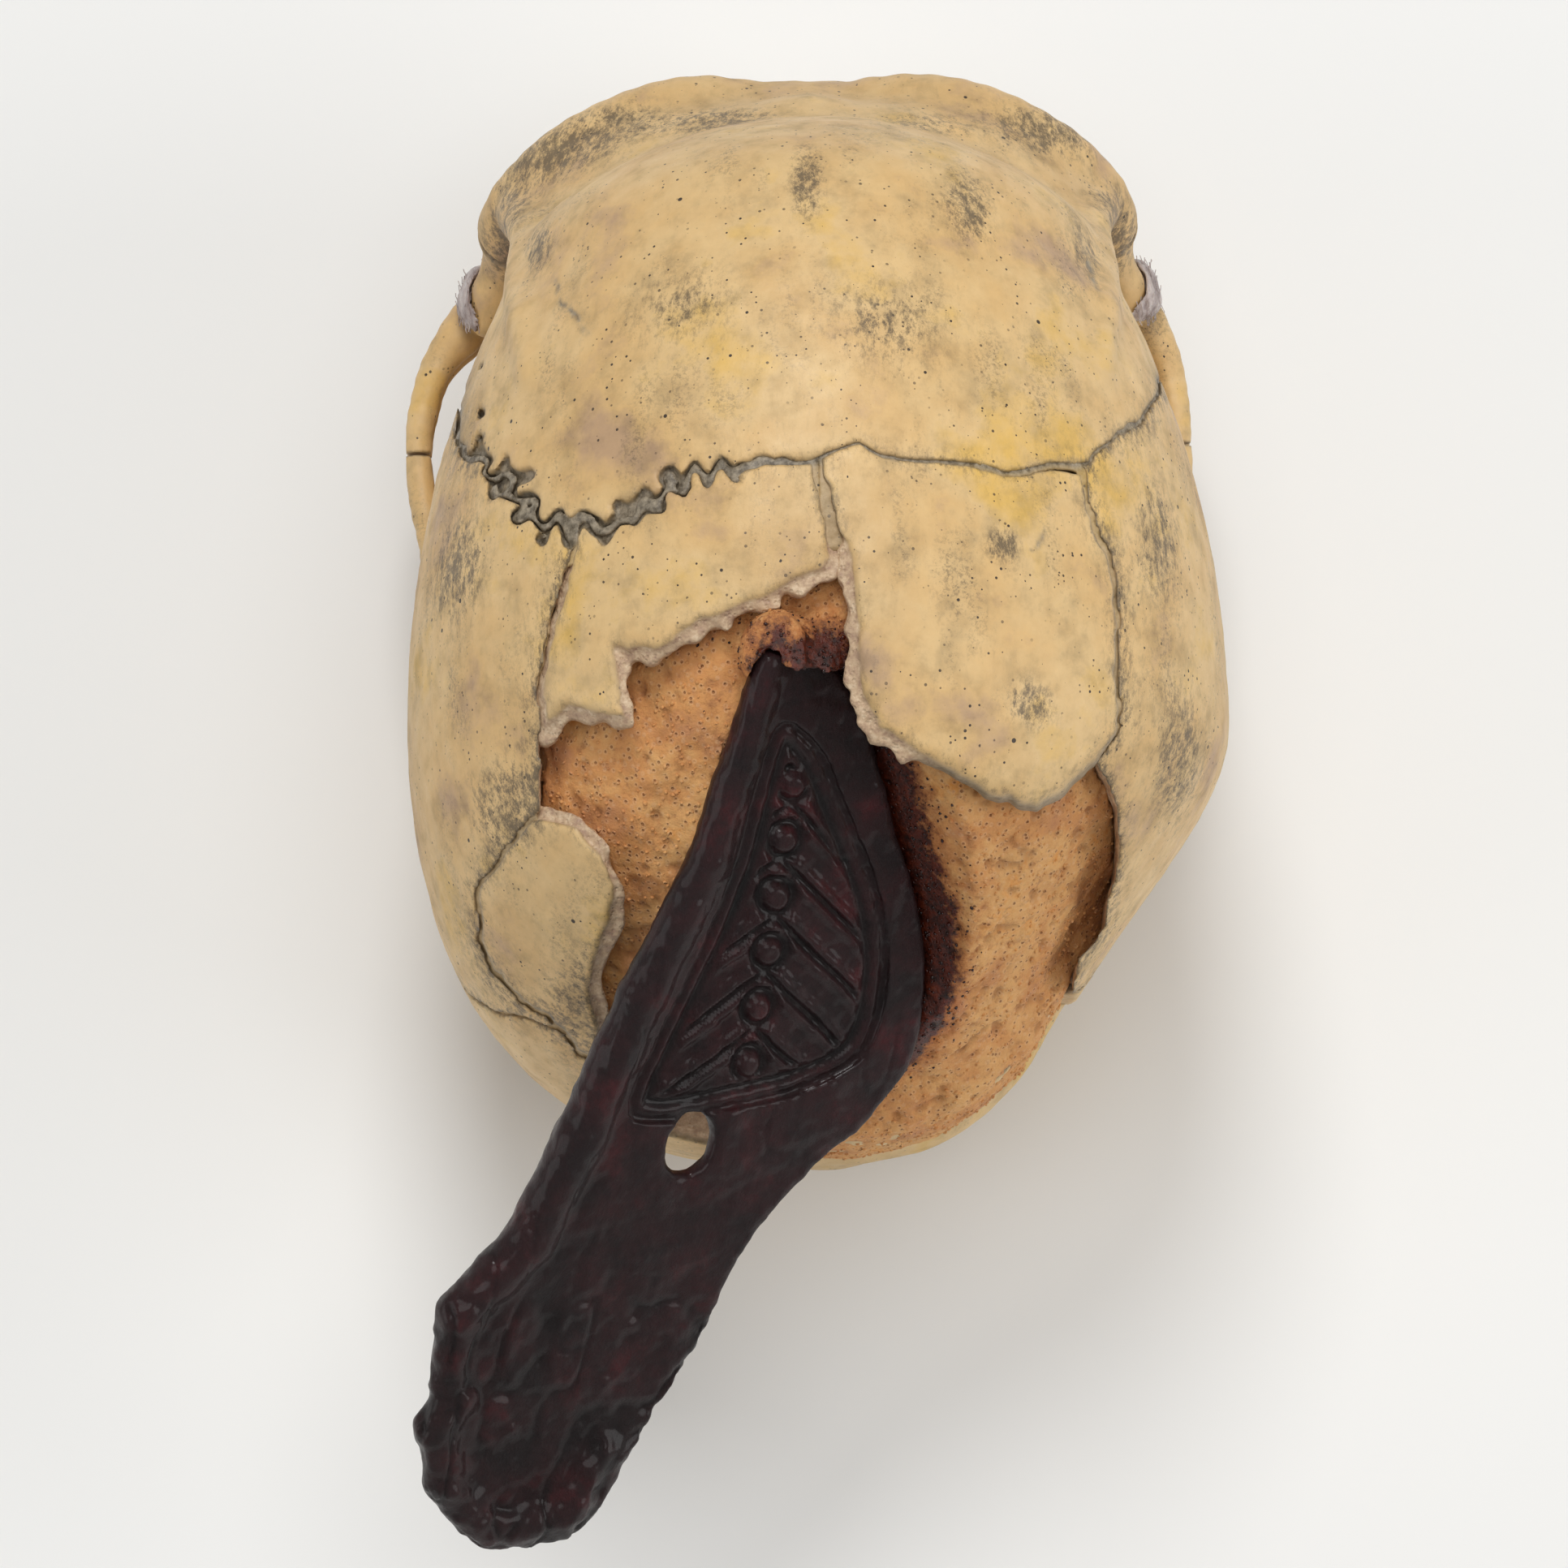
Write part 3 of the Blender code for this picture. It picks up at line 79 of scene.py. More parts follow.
standing = Matrix.Translation(Vector(skull["origin"]) / 1000) @ Matrix.Rotation(
    math.radians(skull["tilt"]), 4, "X") @ Matrix.Scale(0.001, 4)


def place(shares):
    return np.array(shares, float) * measure


# Number fields: every solid below is a distance field in mm, negative inside
sectionTable = np.array(skull["sections"])
sectionAngles = np.arccos(sectionTable[:, 0])
sectionSines = np.sin(sectionAngles)
sectionCurves = {
    "width": sectionTable[:, 1] / sectionSines * skull["halfWidth"],
    "rise": (sectionTable[:, 2] - sectionTable[:, 4]) / sectionSines * skull["vaultTop"],
    "drop": (sectionTable[:, 4] - sectionTable[:, 3]) / sectionSines * skull["vaultTop"],
    "level": sectionTable[:, 4] * skull["vaultTop"],
}


def alongCurve(name, along):
    values = sectionCurves[name]
    slopes = np.gradient(values, sectionAngles)
    i = np.clip(np.searchsorted(sectionAngles, along) - 1, 0, len(sectionAngles) - 2)
    step = sectionAngles[i + 1] - sectionAngles[i]
    t = np.clip((along - sectionAngles[i]) / step, 0.0, 1.0)
    return ((2 * t**3 - 3 * t**2 + 1) * values[i] + (t**3 - 2 * t**2 + t) * step * slopes[i]
            + (3 * t**2 - 2 * t**3) * values[i + 1] + (t**3 - t**2) * step * slopes[i + 1])


def smoothStep(low, high, value):
    t = np.clip((value - low) / (high - low), 0.0, 1.0)
    return t * t * (3.0 - 2.0 * t)


def vaultField(x, y, z, step):
    lengthwise = y / np.where(y > 0, skull["halfLength"] * skull["front"], skull["halfLength"])
    share = np.clip(lengthwise, -0.9985, 0.9985)
    along = np.arccos(share)
    width, level = alongCurve("width", along), alongCurve("level", along)
    flat = skull["flatShare"] * smoothStep(0.0, 1.0, (share - skull["flatFrom"])
                                           / (skull["flatTo"] - skull["flatFrom"]))
    across = np.where(x > 0, x / (1 - flat), x) / width
    up = z - level
    high = up / np.where(up >= 0, alongCurve("rise", along), alongCurve("drop", along))
    ring = across**2 + high**2
    front, back = skull["lowerPowers"]
    power = front + (back - front) * np.minimum(along / math.pi * 2, 1.0)
    low = np.broadcast_to(up < 0, ring.shape)
    n = np.broadcast_to(power, ring.shape)[low]
    a = np.abs(np.broadcast_to(across, ring.shape)[low])
    b = np.abs(np.broadcast_to(high, ring.shape)[low])
    ring[low] = (a**n + b**n) ** (2 / n)
    shape = np.sqrt(lengthwise ** 2 + ring).astype(np.float32)
    slope = np.sqrt(sum(g * g for g in np.gradient(shape, step)))
    return (shape - 1.0) / np.maximum(slope, 0.004)


def smoothMin(a, b, blend):
    h = np.clip(0.5 + 0.5 * (b - a) / blend, 0.0, 1.0)
    return b + (a - b) * h - blend * h * (1 - h)


def smoothMax(a, b, blend):
    return -smoothMin(-a, -b, blend)


def chainField(x, y, z, points, radii):
    best = None
    for a, b, ra, rb in zip(points, points[1:], radii, radii[1:]):
        ab = b - a
        h = np.clip(((x - a[0]) * ab[0] + (y - a[1]) * ab[1] + (z - a[2]) * ab[2]) / (ab @ ab), 0, 1)
        gap = np.sqrt((x - a[0] - h * ab[0])**2 + (y - a[1] - h * ab[1])**2 + (z - a[2] - h * ab[2])**2)
        gap = gap - (ra + (rb - ra) * h)
        best = gap if best is None else smoothMin(best, gap, 1.0)
    return best


def ballField(x, y, z, centre, size):
    px, py, pz = x - centre[0], y - centre[1], z - centre[2]
    near = np.sqrt((px / size[0])**2 + (py / size[1])**2 + (pz / size[2])**2) + 1e-6
    steep = np.sqrt((px / size[0]**2)**2 + (py / size[1]**2)**2 + (pz / size[2]**2)**2) + 1e-6
    return near * (near - 1) / steep


def blockField(x, y, z, centre, size, rounding=0.5):
    q = [np.abs(p - c) - s / 2 + rounding for p, c, s in zip((x, y, z), centre, size)]
    outside = np.sqrt(sum(np.maximum(part, 0)**2 for part in q))
    return outside + np.minimum(np.maximum(np.maximum(q[0], q[1]), q[2]), 0) - rounding


def outlineField(u, v, points):
    inside = np.zeros(np.broadcast(u, v).shape, bool)
    best = np.full(inside.shape, 1e9)
    for a, b in zip(points, list(points[1:]) + [points[0]]):
        eu, ev = b[0] - a[0], b[1] - a[1]
        h = np.clip(((u - a[0]) * eu + (v - a[1]) * ev) / (eu * eu + ev * ev + 1e-9), 0, 1)
        best = np.minimum(best, (u - a[0] - h * eu)**2 + (v - a[1] - h * ev)**2)
        if abs(ev) > 1e-9:
            inside ^= ((a[1] > v) != (b[1] > v)) & (u < eu * (v - a[1]) / ev + a[0])
    return np.where(inside, -np.sqrt(best), np.sqrt(best))


noiseTable = np.random.RandomState(11).rand(64, 64, 64).astype(np.float32)


def noiseAt(x, y, z, size, seed=0):
    # Smooth random values from -1 to 1, whose lumps are size mm across
    parts = []
    for value, shift in ((x, 7.3), (y, 13.7), (z, 29.1)):
        value = np.asarray(value) / size + shift * (seed + 1)
        whole = np.floor(value)
        t = value - whole
        parts.append((whole.astype(int) % 64, (whole.astype(int) + 1) % 64, t * t * (3 - 2 * t)))
    (x0, x1, fx), (y0, y1, fy), (z0, z1, fz) = parts
    total = 0.0
    for xi, wx in ((x0, 1 - fx), (x1, fx)):
        for yi, wy in ((y0, 1 - fy), (y1, fy)):
            for zi, wz in ((z0, 1 - fz), (z1, fz)):
                total = total + noiseTable[xi, yi, zi] * wx * wy * wz
    return total * 2 - 1


def wobbled(u, v, amounts, seed):
    # Sutures and cracks wander by these (size, reach) pairs in mm, alike on both sides of them
    du = sum(reach * noiseAt(u, v, 0.0, size, seed) for size, reach in amounts)
    dv = sum(reach * noiseAt(u, v, 40.0, size, seed + 1) for size, reach in amounts)
    return u + du, v + dv


def gridAxes(low, high, step):
    return [np.arange(a, b + step, step, dtype=np.float32) for a, b in zip(low, high)]


def sampled(field, axes, step, points):
    # The field's values at loose points, between its grid values
    total = 0.0
    spots = [(points[:, i] - axes[i][0]) / step for i in range(3)]
    whole = [np.clip(np.floor(s).astype(int), 0, len(axes[i]) - 2) for i, s in enumerate(spots)]
    t = [np.clip(s - w, 0, 1) for s, w in zip(spots, whole)]
    for i in (0, 1):
        for j in (0, 1):
            for k in (0, 1):
                weight = (t[0] if i else 1 - t[0]) * (t[1] if j else 1 - t[1]) * (t[2] if k else 1 - t[2])
                total = total + field[whole[0] + i, whole[1] + j, whole[2] + k] * weight
    return total


# The forms of the head that are blended on to the vault. Right side; the left is its mirror
face = {
    "blend": 3.2, "browBlend": 7.0,
    # brow, its roof and the valley behind it
    "browChains": (
        (((0.00, 0.940, 0.215), (0.24, 0.962, 0.240), (0.43, 0.938, 0.250), (0.61, 0.875, 0.225),
          (0.720, 0.805, 0.165), (0.74, 0.765, 0.100)), (5.2, 5.6, 5.4, 5.2, 5.4, 5.6)),
        (((0.28, 0.860, 0.240), (0.48, 0.805, 0.235), (0.62, 0.735, 0.195)), (5.6, 5.6, 5.6)),
        (((0.00, 0.912, 0.270), (0.24, 0.895, 0.285), (0.43, 0.862, 0.285), (0.60, 0.800, 0.255)),
         (4.6, 5.0, 5.8, 5.6)),
        (((0.00, 0.885, 0.345), (0.24, 0.865, 0.350), (0.43, 0.815, 0.345), (0.58, 0.745, 0.320)),
         (4.5, 4.8, 5.2, 5.0)),
    ),
    "chains": (
        # post, lower rim of the orbit
        (((0.74, 0.765, 0.110), (0.73, 0.730, 0.040), (0.72, 0.690, -0.040)), (5.6, 5.2, 5.6)),
        (((0.70, 0.690, -0.050), (0.57, 0.780, -0.062), (0.40, 0.835, -0.045), (0.24, 0.870, 0.000)),
         (4.3, 4.3, 4.3, 4.0)),
        # nose's bridge, the maxilla's upright and the canine's pillar
        (((0.045, 0.915, 0.180), (0.050, 0.945, 0.105), (0.056, 0.975, 0.040)), (4.2, 4.0, 3.4)),
        (((0.16, 0.880, 0.155), (0.19, 0.900, 0.050), (0.215, 0.885, -0.050)), (4.3, 4.0, 4.3)),
        (((0.215, 0.885, -0.040), (0.243, 0.905, -0.165), (0.250, 0.890, -0.290)), (5.6, 5.6, 6.2)),
        # tooth-bearing edge, twice, one above the other
        (((0.000, 0.925, -0.300), (0.157, 0.915, -0.300), (0.286, 0.850, -0.300), (0.370, 0.750, -0.300),
          (0.400, 0.625, -0.300), (0.400, 0.445, -0.300)), (6.4,) * 6),
        (((0.000, 0.925, -0.238), (0.157, 0.915, -0.238), (0.286, 0.850, -0.238), (0.370, 0.750, -0.238),
          (0.400, 0.625, -0.238), (0.400, 0.445, -0.238)), (6.0,) * 6),
        # pterygoid plates, mastoid and its tip, styloid
        (((0.17, 0.380, -0.080), (0.17, 0.355, -0.285)), (3.0, 2.4)),
        (((0.25, 0.370, -0.080), (0.29, 0.325, -0.270)), (3.0, 2.2)),
        (((0.78, -0.130, -0.040), (0.73, -0.140, -0.150), (0.69, -0.130, -0.238)), (11.0, 8.0, 5.0)),
        # the cheek bone flares back towards the arch
        (((0.735, 0.735, 0.060), (0.790, 0.665, 0.030), (0.815, 0.622, 0.010)), (4.4, 4.2, 3.2)),
        # temporal line on the frontal bone
        (((0.705, 0.770, 0.220), (0.685, 0.700, 0.355), (0.695, 0.610, 0.460), (0.690, 0.490, 0.628),
          (0.672, 0.380, 0.714)), (4.8, 3.6, 3.2, 2.8, 2.0)),
    ),
    # the left arch swings wider than the right one
    "arches": (
        ((0.840, 0.625, -0.065), (0.905, 0.545, -0.067), (0.930, 0.455, -0.066), (0.935, 0.370, -0.060),
         (0.935, 0.290, -0.050), (0.940, 0.180, -0.036), (0.935, 0.070, -0.016), (0.900, -0.030, 0.000)),
        ((-0.860, 0.625, -0.065), (-0.945, 0.545, -0.067), (-0.985, 0.455, -0.066),
         (-0.995, 0.370, -0.060), (-0.985, 0.290, -0.050), (-0.955, 0.180, -0.036),
         (-0.935, 0.070, -0.016), (-0.900, -0.030, 0.000)),
    ),
    "archRadii": (4.2, 2.7, 2.3, 2.2, 2.2, 2.3, 2.6, 4.2), "archLift": 2.6,
    "balls": (
        ((0.69, 0.650, -0.080), (10.5, 10.0, 13.5)), ((0.385, 0.715, -0.150), (18.0, 16.5, 20.0)),
        ((0.50, 0.480, 0.060), (15.0, 10.0, 20.0)), ((0.86, 0.000, -0.022), (8.0, 11.0, 8.5)),
        ((0.24, -0.110, -0.235), (5.2, 11.0, 5.6)),
    ),
    "middleBalls": (
        ((0.0, 0.330, -0.070), (19.0, 24.0, 15.0)), ((0.0, -0.050, -0.160), (13.0, 24.0, 8.0)),
        ((0.0, -0.945, 0.010), (9.0, 3.5, 5.5)),
    ),
    "middleBlocks": (
        ((0.0, 0.700, -0.245), (52.0, 50.0, 6.0)), ((0.0, 0.640, 0.070), (28.0, 46.0, 34.0)),
    ),
    "orbit": {"front": (0.450, 0.860, 0.065), "back": (0.170, 0.430, 0.090), "reach": 1.35,
              "apex": 7.0, "mouth": (22.0, 18.7)},
    "nose": (((0.00, 0.030), (0.06, 0.015), (0.12, -0.060), (0.17, -0.150), (0.165, -0.205),
              (0.09, -0.225), (0.00, -0.215)), (0.430, 1.200)),
    "choana": ((0.0, 0.560, -0.120), (24.0, 62.0, 30.0)),
    "foramen": ((0.0, -0.320), (15.0, 18.0)),
    "ear": ((0.86, 0.000, -0.022), 4.0, 0.72),
    # small openings: place, way in, radius
    "pits": (
        ((0.36, 0.925, 0.215), (0.0, -1.0, 0.4), 1.4), ((0.345, 0.900, -0.105), (0.1, -1.0, 0.5), 1.9),
        ((0.74, 0.745, -0.075), (-0.6, -1.0, 0.0), 1.0), ((0.33, 0.215, -0.150), (0.0, 0.1, 1.0), 2.6),
        ((0.30, 0.030, -0.200), (0.0, -0.2, 1.0), 3.2), ((0.42, -0.060, -0.190), (0.2, 0.3, 1.0), 3.4),
        ((0.22, 0.420, -0.262), (0.0, 0.3, 1.0), 1.6), ((0.02, 0.870, -0.272), (0.0, 0.0, 1.0), 1.8),
    ),
}


def splinePoint(p0, p1, p2, p3, t):
    return 0.5 * (2 * p1 + (p2 - p0) * t + (2 * p0 - 5 * p1 + 4 * p2 - p3) * t**2
                  + (3 * p1 - p0 - 3 * p2 + p3) * t**3)


def curved(points, radii, steps=3):
    # The same rod with its corners rounded off
    rows = [np.append(p, r) for p, r in zip(points, radii)]
    rows = [2 * rows[0] - rows[1]] + rows + [2 * rows[-1] - rows[-2]]
    made = []
    for p0, p1, p2, p3 in zip(rows, rows[1:], rows[2:], rows[3:]):
        made += [splinePoint(p0, p1, p2, p3, k / steps) for k in range(steps)]
    made.append(rows[-2])
    return [row[:3] for row in made], [row[3] for row in made]


def addChain(field, axes, points, radii, blend):
    # Only the part of the grid near the form is worked on
    reach = max(radii) + blend + 1
    low, high = np.min(points, axis=0) - reach, np.max(points, axis=0) + reach
    part = tuple(slice(*np.searchsorted(axis, (a, b))) for axis, a, b in zip(axes, low, high))
    if min(field[part].shape) == 0:
        return
    x, y, z = np.meshgrid(*(axis[s] for axis, s in zip(axes, part)), indexing="ij", sparse=True)
    field[part] = smoothMin(field[part], chainField(x, y, z, points, radii), blend)


def addBall(field, axes, centre, size, blend, shape=ballField):
    reach = np.array(size) + blend + 1
    part = tuple(slice(*np.searchsorted(axis, (c - r, c + r))) for axis, c, r in zip(axes, centre, reach))
    if min(field[part].shape) == 0:
        return
    x, y, z = np.meshgrid(*(axis[s] for axis, s in zip(axes, part)), indexing="ij", sparse=True)
    field[part] = smoothMin(field[part], shape(x, y, z, centre, size), blend)


def headField(axes, step):
    x, y, z = np.meshgrid(*axes, indexing="ij", sparse=True)
    vault = vaultField(x, y, z, step)
    field = vault.copy()
    blend = face["blend"]
    for side in (1, -1):
        turn = np.array((side, 1, 1))
        for shares, radii in face["browChains"]:
            points, sizes = curved([place(s) for s in shares], radii)
            addChain(field, axes, [p * turn for p in points], sizes, face["browBlend"])
        for shares, radii in face["chains"]:
            addChain(field, axes, [place(s) * turn for s in shares], radii, blend)
        for centre, size in face["balls"]:
            addBall(field, axes, place(centre) * turn, size, blend)
    for shares in face["arches"]:
        for rise in (-face["archLift"], face["archLift"]):
            points, sizes = curved([place(s) + np.array((0, 0, rise)) for s in shares], face["archRadii"])
            addChain(field, axes, points, sizes, 1.6)
    for centre, size in face["middleBalls"]:
        addBall(field, axes, place(centre), size, blend)
    for centre, size in face["middleBlocks"]:
        addBall(field, axes, place(centre), size, blend, blockField)
    # hollow, with its floor higher behind the forehead
    floor = skull["hollowFloor"] + (skull["hollowFront"] - skull["hollowFloor"]) * smoothStep(
        skull["hollowStep"] - 4, skull["hollowStep"] + 3, y)
    hollow = smoothMax(vault + skull["wall"], floor - z, 4.0)
    field = smoothMax(field, -hollow, 1.2)
    # eye sockets
    socket = face["orbit"]
    for side in (1, -1):
        turn = np.array((side, 1, 1))
        front, back = place(socket["front"]) * turn, place(socket["back"]) * turn
        way = front - back
        length = np.linalg.norm(way)
        way = way / length
        quat = Vector(way).to_track_quat("Z", "Y").to_matrix()
        right, up = np.array(quat.col[0]), np.array(quat.col[1])
        along = (x - back[0]) * way[0] + (y - back[1]) * way[1] + (z - back[2]) * way[2]
        u = (x - back[0]) * right[0] + (y - back[1]) * right[1] + (z - back[2]) * right[2]
        v = (x - back[0]) * up[0] + (y - back[1]) * up[1] + (z - back[2]) * up[2]
        t = along / (length * socket["reach"])
        wide = socket["apex"] + (socket["mouth"][0] - socket["apex"]) * t
        tall = socket["apex"] + (socket["mouth"][1] - socket["apex"]) * t
        wide, tall = np.maximum(wide, 1.0), np.maximum(tall, 1.0)
        ring = (np.abs(u / wide) ** 2.6 + np.abs(v / tall) ** 2.6) ** (1 / 2.6)
        cone = np.maximum((ring - 1) * np.minimum(wide, tall), -along)
        field = smoothMax(field, -cone, 1.4)
    # nose, its passage back to the throat, the base's great opening and the ear holes
    half, (back, front) = face["nose"]
    outline = [(a * measure[0], b * measure[2]) for a, b in half]
    outline += [(-a, b) for a, b in reversed(outline[1:-1])]
    nose = np.maximum(outlineField(x, z, outline), back * measure[1] - y)
    field = smoothMax(field, -nose, 1.2)
    field = smoothMax(field, -blockField(x, y, z, place(face["choana"][0]), face["choana"][1], 4.0), 1.0)
    centre, (wide, tall) = face["foramen"]
    ring = np.sqrt((x / wide)**2 + ((y - centre[1] * measure[1]) / tall)**2)
    field = smoothMax(field, -np.maximum((ring - 1) * wide, z + 5.0), 2.0)
    centre, radius, inner = face["ear"]
    spot = place(centre)
    tube = np.sqrt((y - spot[1])**2 + (z - spot[2])**2) - radius
    field = smoothMax(field, -np.maximum(tube, inner * measure[0] - np.abs(x)), 1.2)
    for shares, way, radius in face["pits"]:
        for side in (1, -1):
            turn = np.array((side, 1, 1))
            start = place(shares) * turn
            end = start + np.array(way) / np.linalg.norm(way) * 7.0 * turn
            pit = np.full(field.shape, 9.0, np.float32)
            addChain(pit, axes, [start - (end - start) * 0.6, end], (radius, radius * 0.8), 0.5)
            field = smoothMax(field, -pit, 0.7)
    return field.astype(np.float32)


# Sutures and breaks, outlined from above (x, y), from the side (y, z) or from the front (x, z)
seams = {
    "gap": 0.16,
    "coronal": (
        (-1.20, 0.500), (-0.86, 0.400), (-0.85, 0.260), (-0.75, 0.190), (-0.64, 0.090), (-0.49, 0.070),
        (-0.40, 0.100), (-0.32, 0.150), (-0.20, 0.160), (0.00, 0.165), (0.08, 0.195), (0.16, 0.165),
        (0.31, 0.170), (0.43, 0.160), (0.61, 0.180), (0.72, 0.240), (0.83, 0.340), (0.86, 0.400),
        (1.20, 0.500), (1.20, 1.20), (-1.20, 1.20),
    ),
    "rightPlate": (
        (0.00, 0.250), (0.62, 0.250), (0.64, 0.110), (0.68, 0.020), (0.70, -0.060), (0.70, -0.270),
        (0.64, -0.340), (0.56, -0.400), (0.50, -0.420), (0.38, -0.410), (0.22, -0.350), (0.12, -0.310),
        (0.08, -0.250), (0.07, -0.110), (0.06, -0.020), (0.03, 0.070), (0.00, 0.150),
    ),
    "leftPlate": (
        (-0.02, 0.250), (-0.60, 0.250), (-0.57, 0.050), (-0.60, -0.010), (-0.63, -0.080), (-0.65, -0.140),
        (-0.66, -0.210), (-0.65, -0.270), (-0.60, -0.240), (-0.52, -0.260), (-0.45, -0.270),
        (-0.46, -0.210), (-0.47, -0.150), (-0.39, -0.160), (-0.32, -0.130), (-0.21, -0.100),
        (-0.14, -0.080), (0.00, -0.035), (0.03, -0.012), (0.015, 0.060), (-0.008, 0.150),
    ),
    "fragment": (
        (-0.67, -0.415), (-0.75, -0.460), (-0.82, -0.520), (-0.82, -0.610), (-0.79, -0.660),
        (-0.74, -0.710), (-0.66, -0.745), (-0.59, -0.800), (-0.49, -0.845), (-0.52, -0.790),
        (-0.53, -0.750), (-0.545, -0.700), (-0.53, -0.650), (-0.49, -0.590), (-0.475, -0.535),
        (-0.52, -0.480), (-0.575, -0.435),
    ),
    "window": (
        (-0.65, -0.200), (-0.66, -0.360), (-0.66, -0.415), (-0.575, -0.435), (-0.52, -0.480),
        (-0.475, -0.535), (-0.49, -0.590), (-0.53, -0.650), (-0.545, -0.700), (-0.53, -0.750),
        (-0.52, -0.790), (-0.49, -0.845), (-0.47, -1.200), (0.80, -1.200), (0.70, -0.760),
        (0.60, -0.700), (0.62, -0.660), (0.68, -0.590), (0.70, -0.500), (0.69, -0.400), (0.64, -0.340),
        (0.60, 0.000), (-0.60, 0.000),
    ),
    "windowLevel": 46.4,
    "squama": (
        (-0.520, 0.100), (-0.420, 0.260), (-0.220, 0.370), (0.020, 0.410), (0.240, 0.360),
        (0.370, 0.250), (0.400, 0.080), (0.385, 0.000), (0.385, -0.110), (0.120, -0.110),
        (0.120, -0.320), (-0.320, -0.320),
    ),
    "frontalBelow": (
        (-0.100, 0.350), (0.410, 0.350), (0.500, 0.310), (0.630, 0.210), (0.700, 0.115), (0.840, 0.110),
        (0.930, 0.175), (1.200, 0.175), (1.200, 1.400), (-0.100, 1.400),
    ),
    "lambdoid": (
        (-1.200, 0.620), (-0.810, 0.620), (-0.520, 0.100), (-0.320, -0.050), (0.085, -0.050),
        (0.085, -0.500), (-1.200, -0.500),
    ),
    "sphenoid": (
        (0.050, 0.360), (0.420, 0.360), (0.500, 0.310), (0.630, 0.210), (0.640, 0.000), (0.500, -0.020),
        (0.500, -0.500), (0.050, -0.500),
    ),
    "cheekTop": (
        (0.43, 1.100), (0.43, 0.700), (0.56, 0.560), (0.74, 0.530), (0.80, 0.375), (1.20, 0.375),
        (1.20, 1.100),
    ),
    "cheekFront": (
        (0.60, 0.110), (1.20, 0.110), (1.20, -0.300), (0.66, -0.260), (0.57, -0.160), (0.44, -0.060),
        (0.48, 0.040),
    ),
    "nasal": ((0.075, 0.172), (0.090, 0.090), (0.125, 0.000), (-0.125, 0.000), (-0.090, 0.090),
              (-0.075, 0.172)),
    # how far each kind of line wanders: (size, reach) pairs in mm
    "coronalWander": ((4.4, 1.3), (1.9, 0.6)), "lobes": (1.3, 4.6), "lobesFrom": (-8.0, -16.0),
    "lobesTo": (-60.0, -56.0),
    "breakWander": ((5.0, 0.7), (2.0, 0.5)),
    "sideWander": ((5.0, 1.3), (2.2, 0.7)),
}


def fromAbove(x, y, name, wander, seed):
    u, v = wobbled(x, y, wander, seed)
    return outlineField(u, v, [(a * measure[0], b * measure[1]) for a, b in seams[name]])


def fromSide(y, z, name, wander, seed):
    u, v = wobbled(y, z, wander, seed)
    return outlineField(u, v, [(a * measure[1], b * measure[2]) for a, b in seams[name]])


def coronalLine(x, y):
    # The suture's left half interlocks in lobes
    reach, size = seams["lobes"]
    left = smoothStep(*seams["lobesFrom"], x) * (1 + 0.8 * noiseAt(x, y, 0.0, 6.0, 32))
    left = left * smoothStep(*seams["lobesTo"], x)
    bend = 1.6 * noiseAt(x, y, 0.0, 9.0, 31)
    u = x + left * reach * np.sin(y * 2 * math.pi / size + bend)
    v = y + left * reach * np.sin(x * 2 * math.pi / size + bend)
    return fromAbove(u, v, "coronal", seams["coronalWander"], 1)


def cheekRegion(x, y, z):
    above = outlineField(np.abs(x), y, [(a * measure[0], b * measure[1]) for a, b in seams["cheekTop"]])
    u, v = wobbled(np.abs(x), z, ((3.0, 0.5), (1.5, 0.3)), 5)
    before = outlineField(u, v, [(a * measure[0], b * measure[2]) for a, b in seams["cheekFront"]])
    return np.maximum(np.maximum(above, before), -y)


def regionOf(name, x, y, z):
    if name == "frontal":
        return np.maximum(coronalLine(x, y),
                          fromSide(y, z, "frontalBelow", ((4.0, 0.5),), 2))
    if name == "cheek":
        return cheekRegion(x, y, z)
    if name == "temporal":
        return np.maximum(fromSide(y, z, "squama", seams["sideWander"], 3), 36.0 - np.abs(x))
    if name in ("rightPlate", "leftPlate", "fragment"):
        return np.maximum(fromAbove(x, y, name, seams["breakWander"], 4), -z)
    if name == "window":
        return np.maximum(fromAbove(x, y, name, seams["breakWander"], 4), seams["windowLevel"] - z)
    if name == "occipital":
        return fromSide(y, z, "lambdoid", seams["sideWander"], 6)
    if name == "ethmoid":
        return blockField(x, y, z, place((0.0, 0.670, 0.060)), (24.0, 36.0, 22.0))
    if name == "sphenoid":
        return fromSide(y, z, "sphenoid", ((4.0, 0.7), (1.8, 0.3)), 7)
    if name == "nasal":
        outline = [(a * measure[0], b * measure[2]) for a, b in seams["nasal"]]
        return np.maximum(outlineField(x, z, outline), 0.860 * measure[1] - y)
    if name == "palatine":
        return blockField(x, y, z, place((0.0, 0.480, -0.235)), (40.0, 16.0, 18.0))
    if name == "parietal":
        return np.maximum(y - 0.45 * measure[1], 0.05 * measure[2] - z)
    return np.full((1, 1, 1), -99.0)


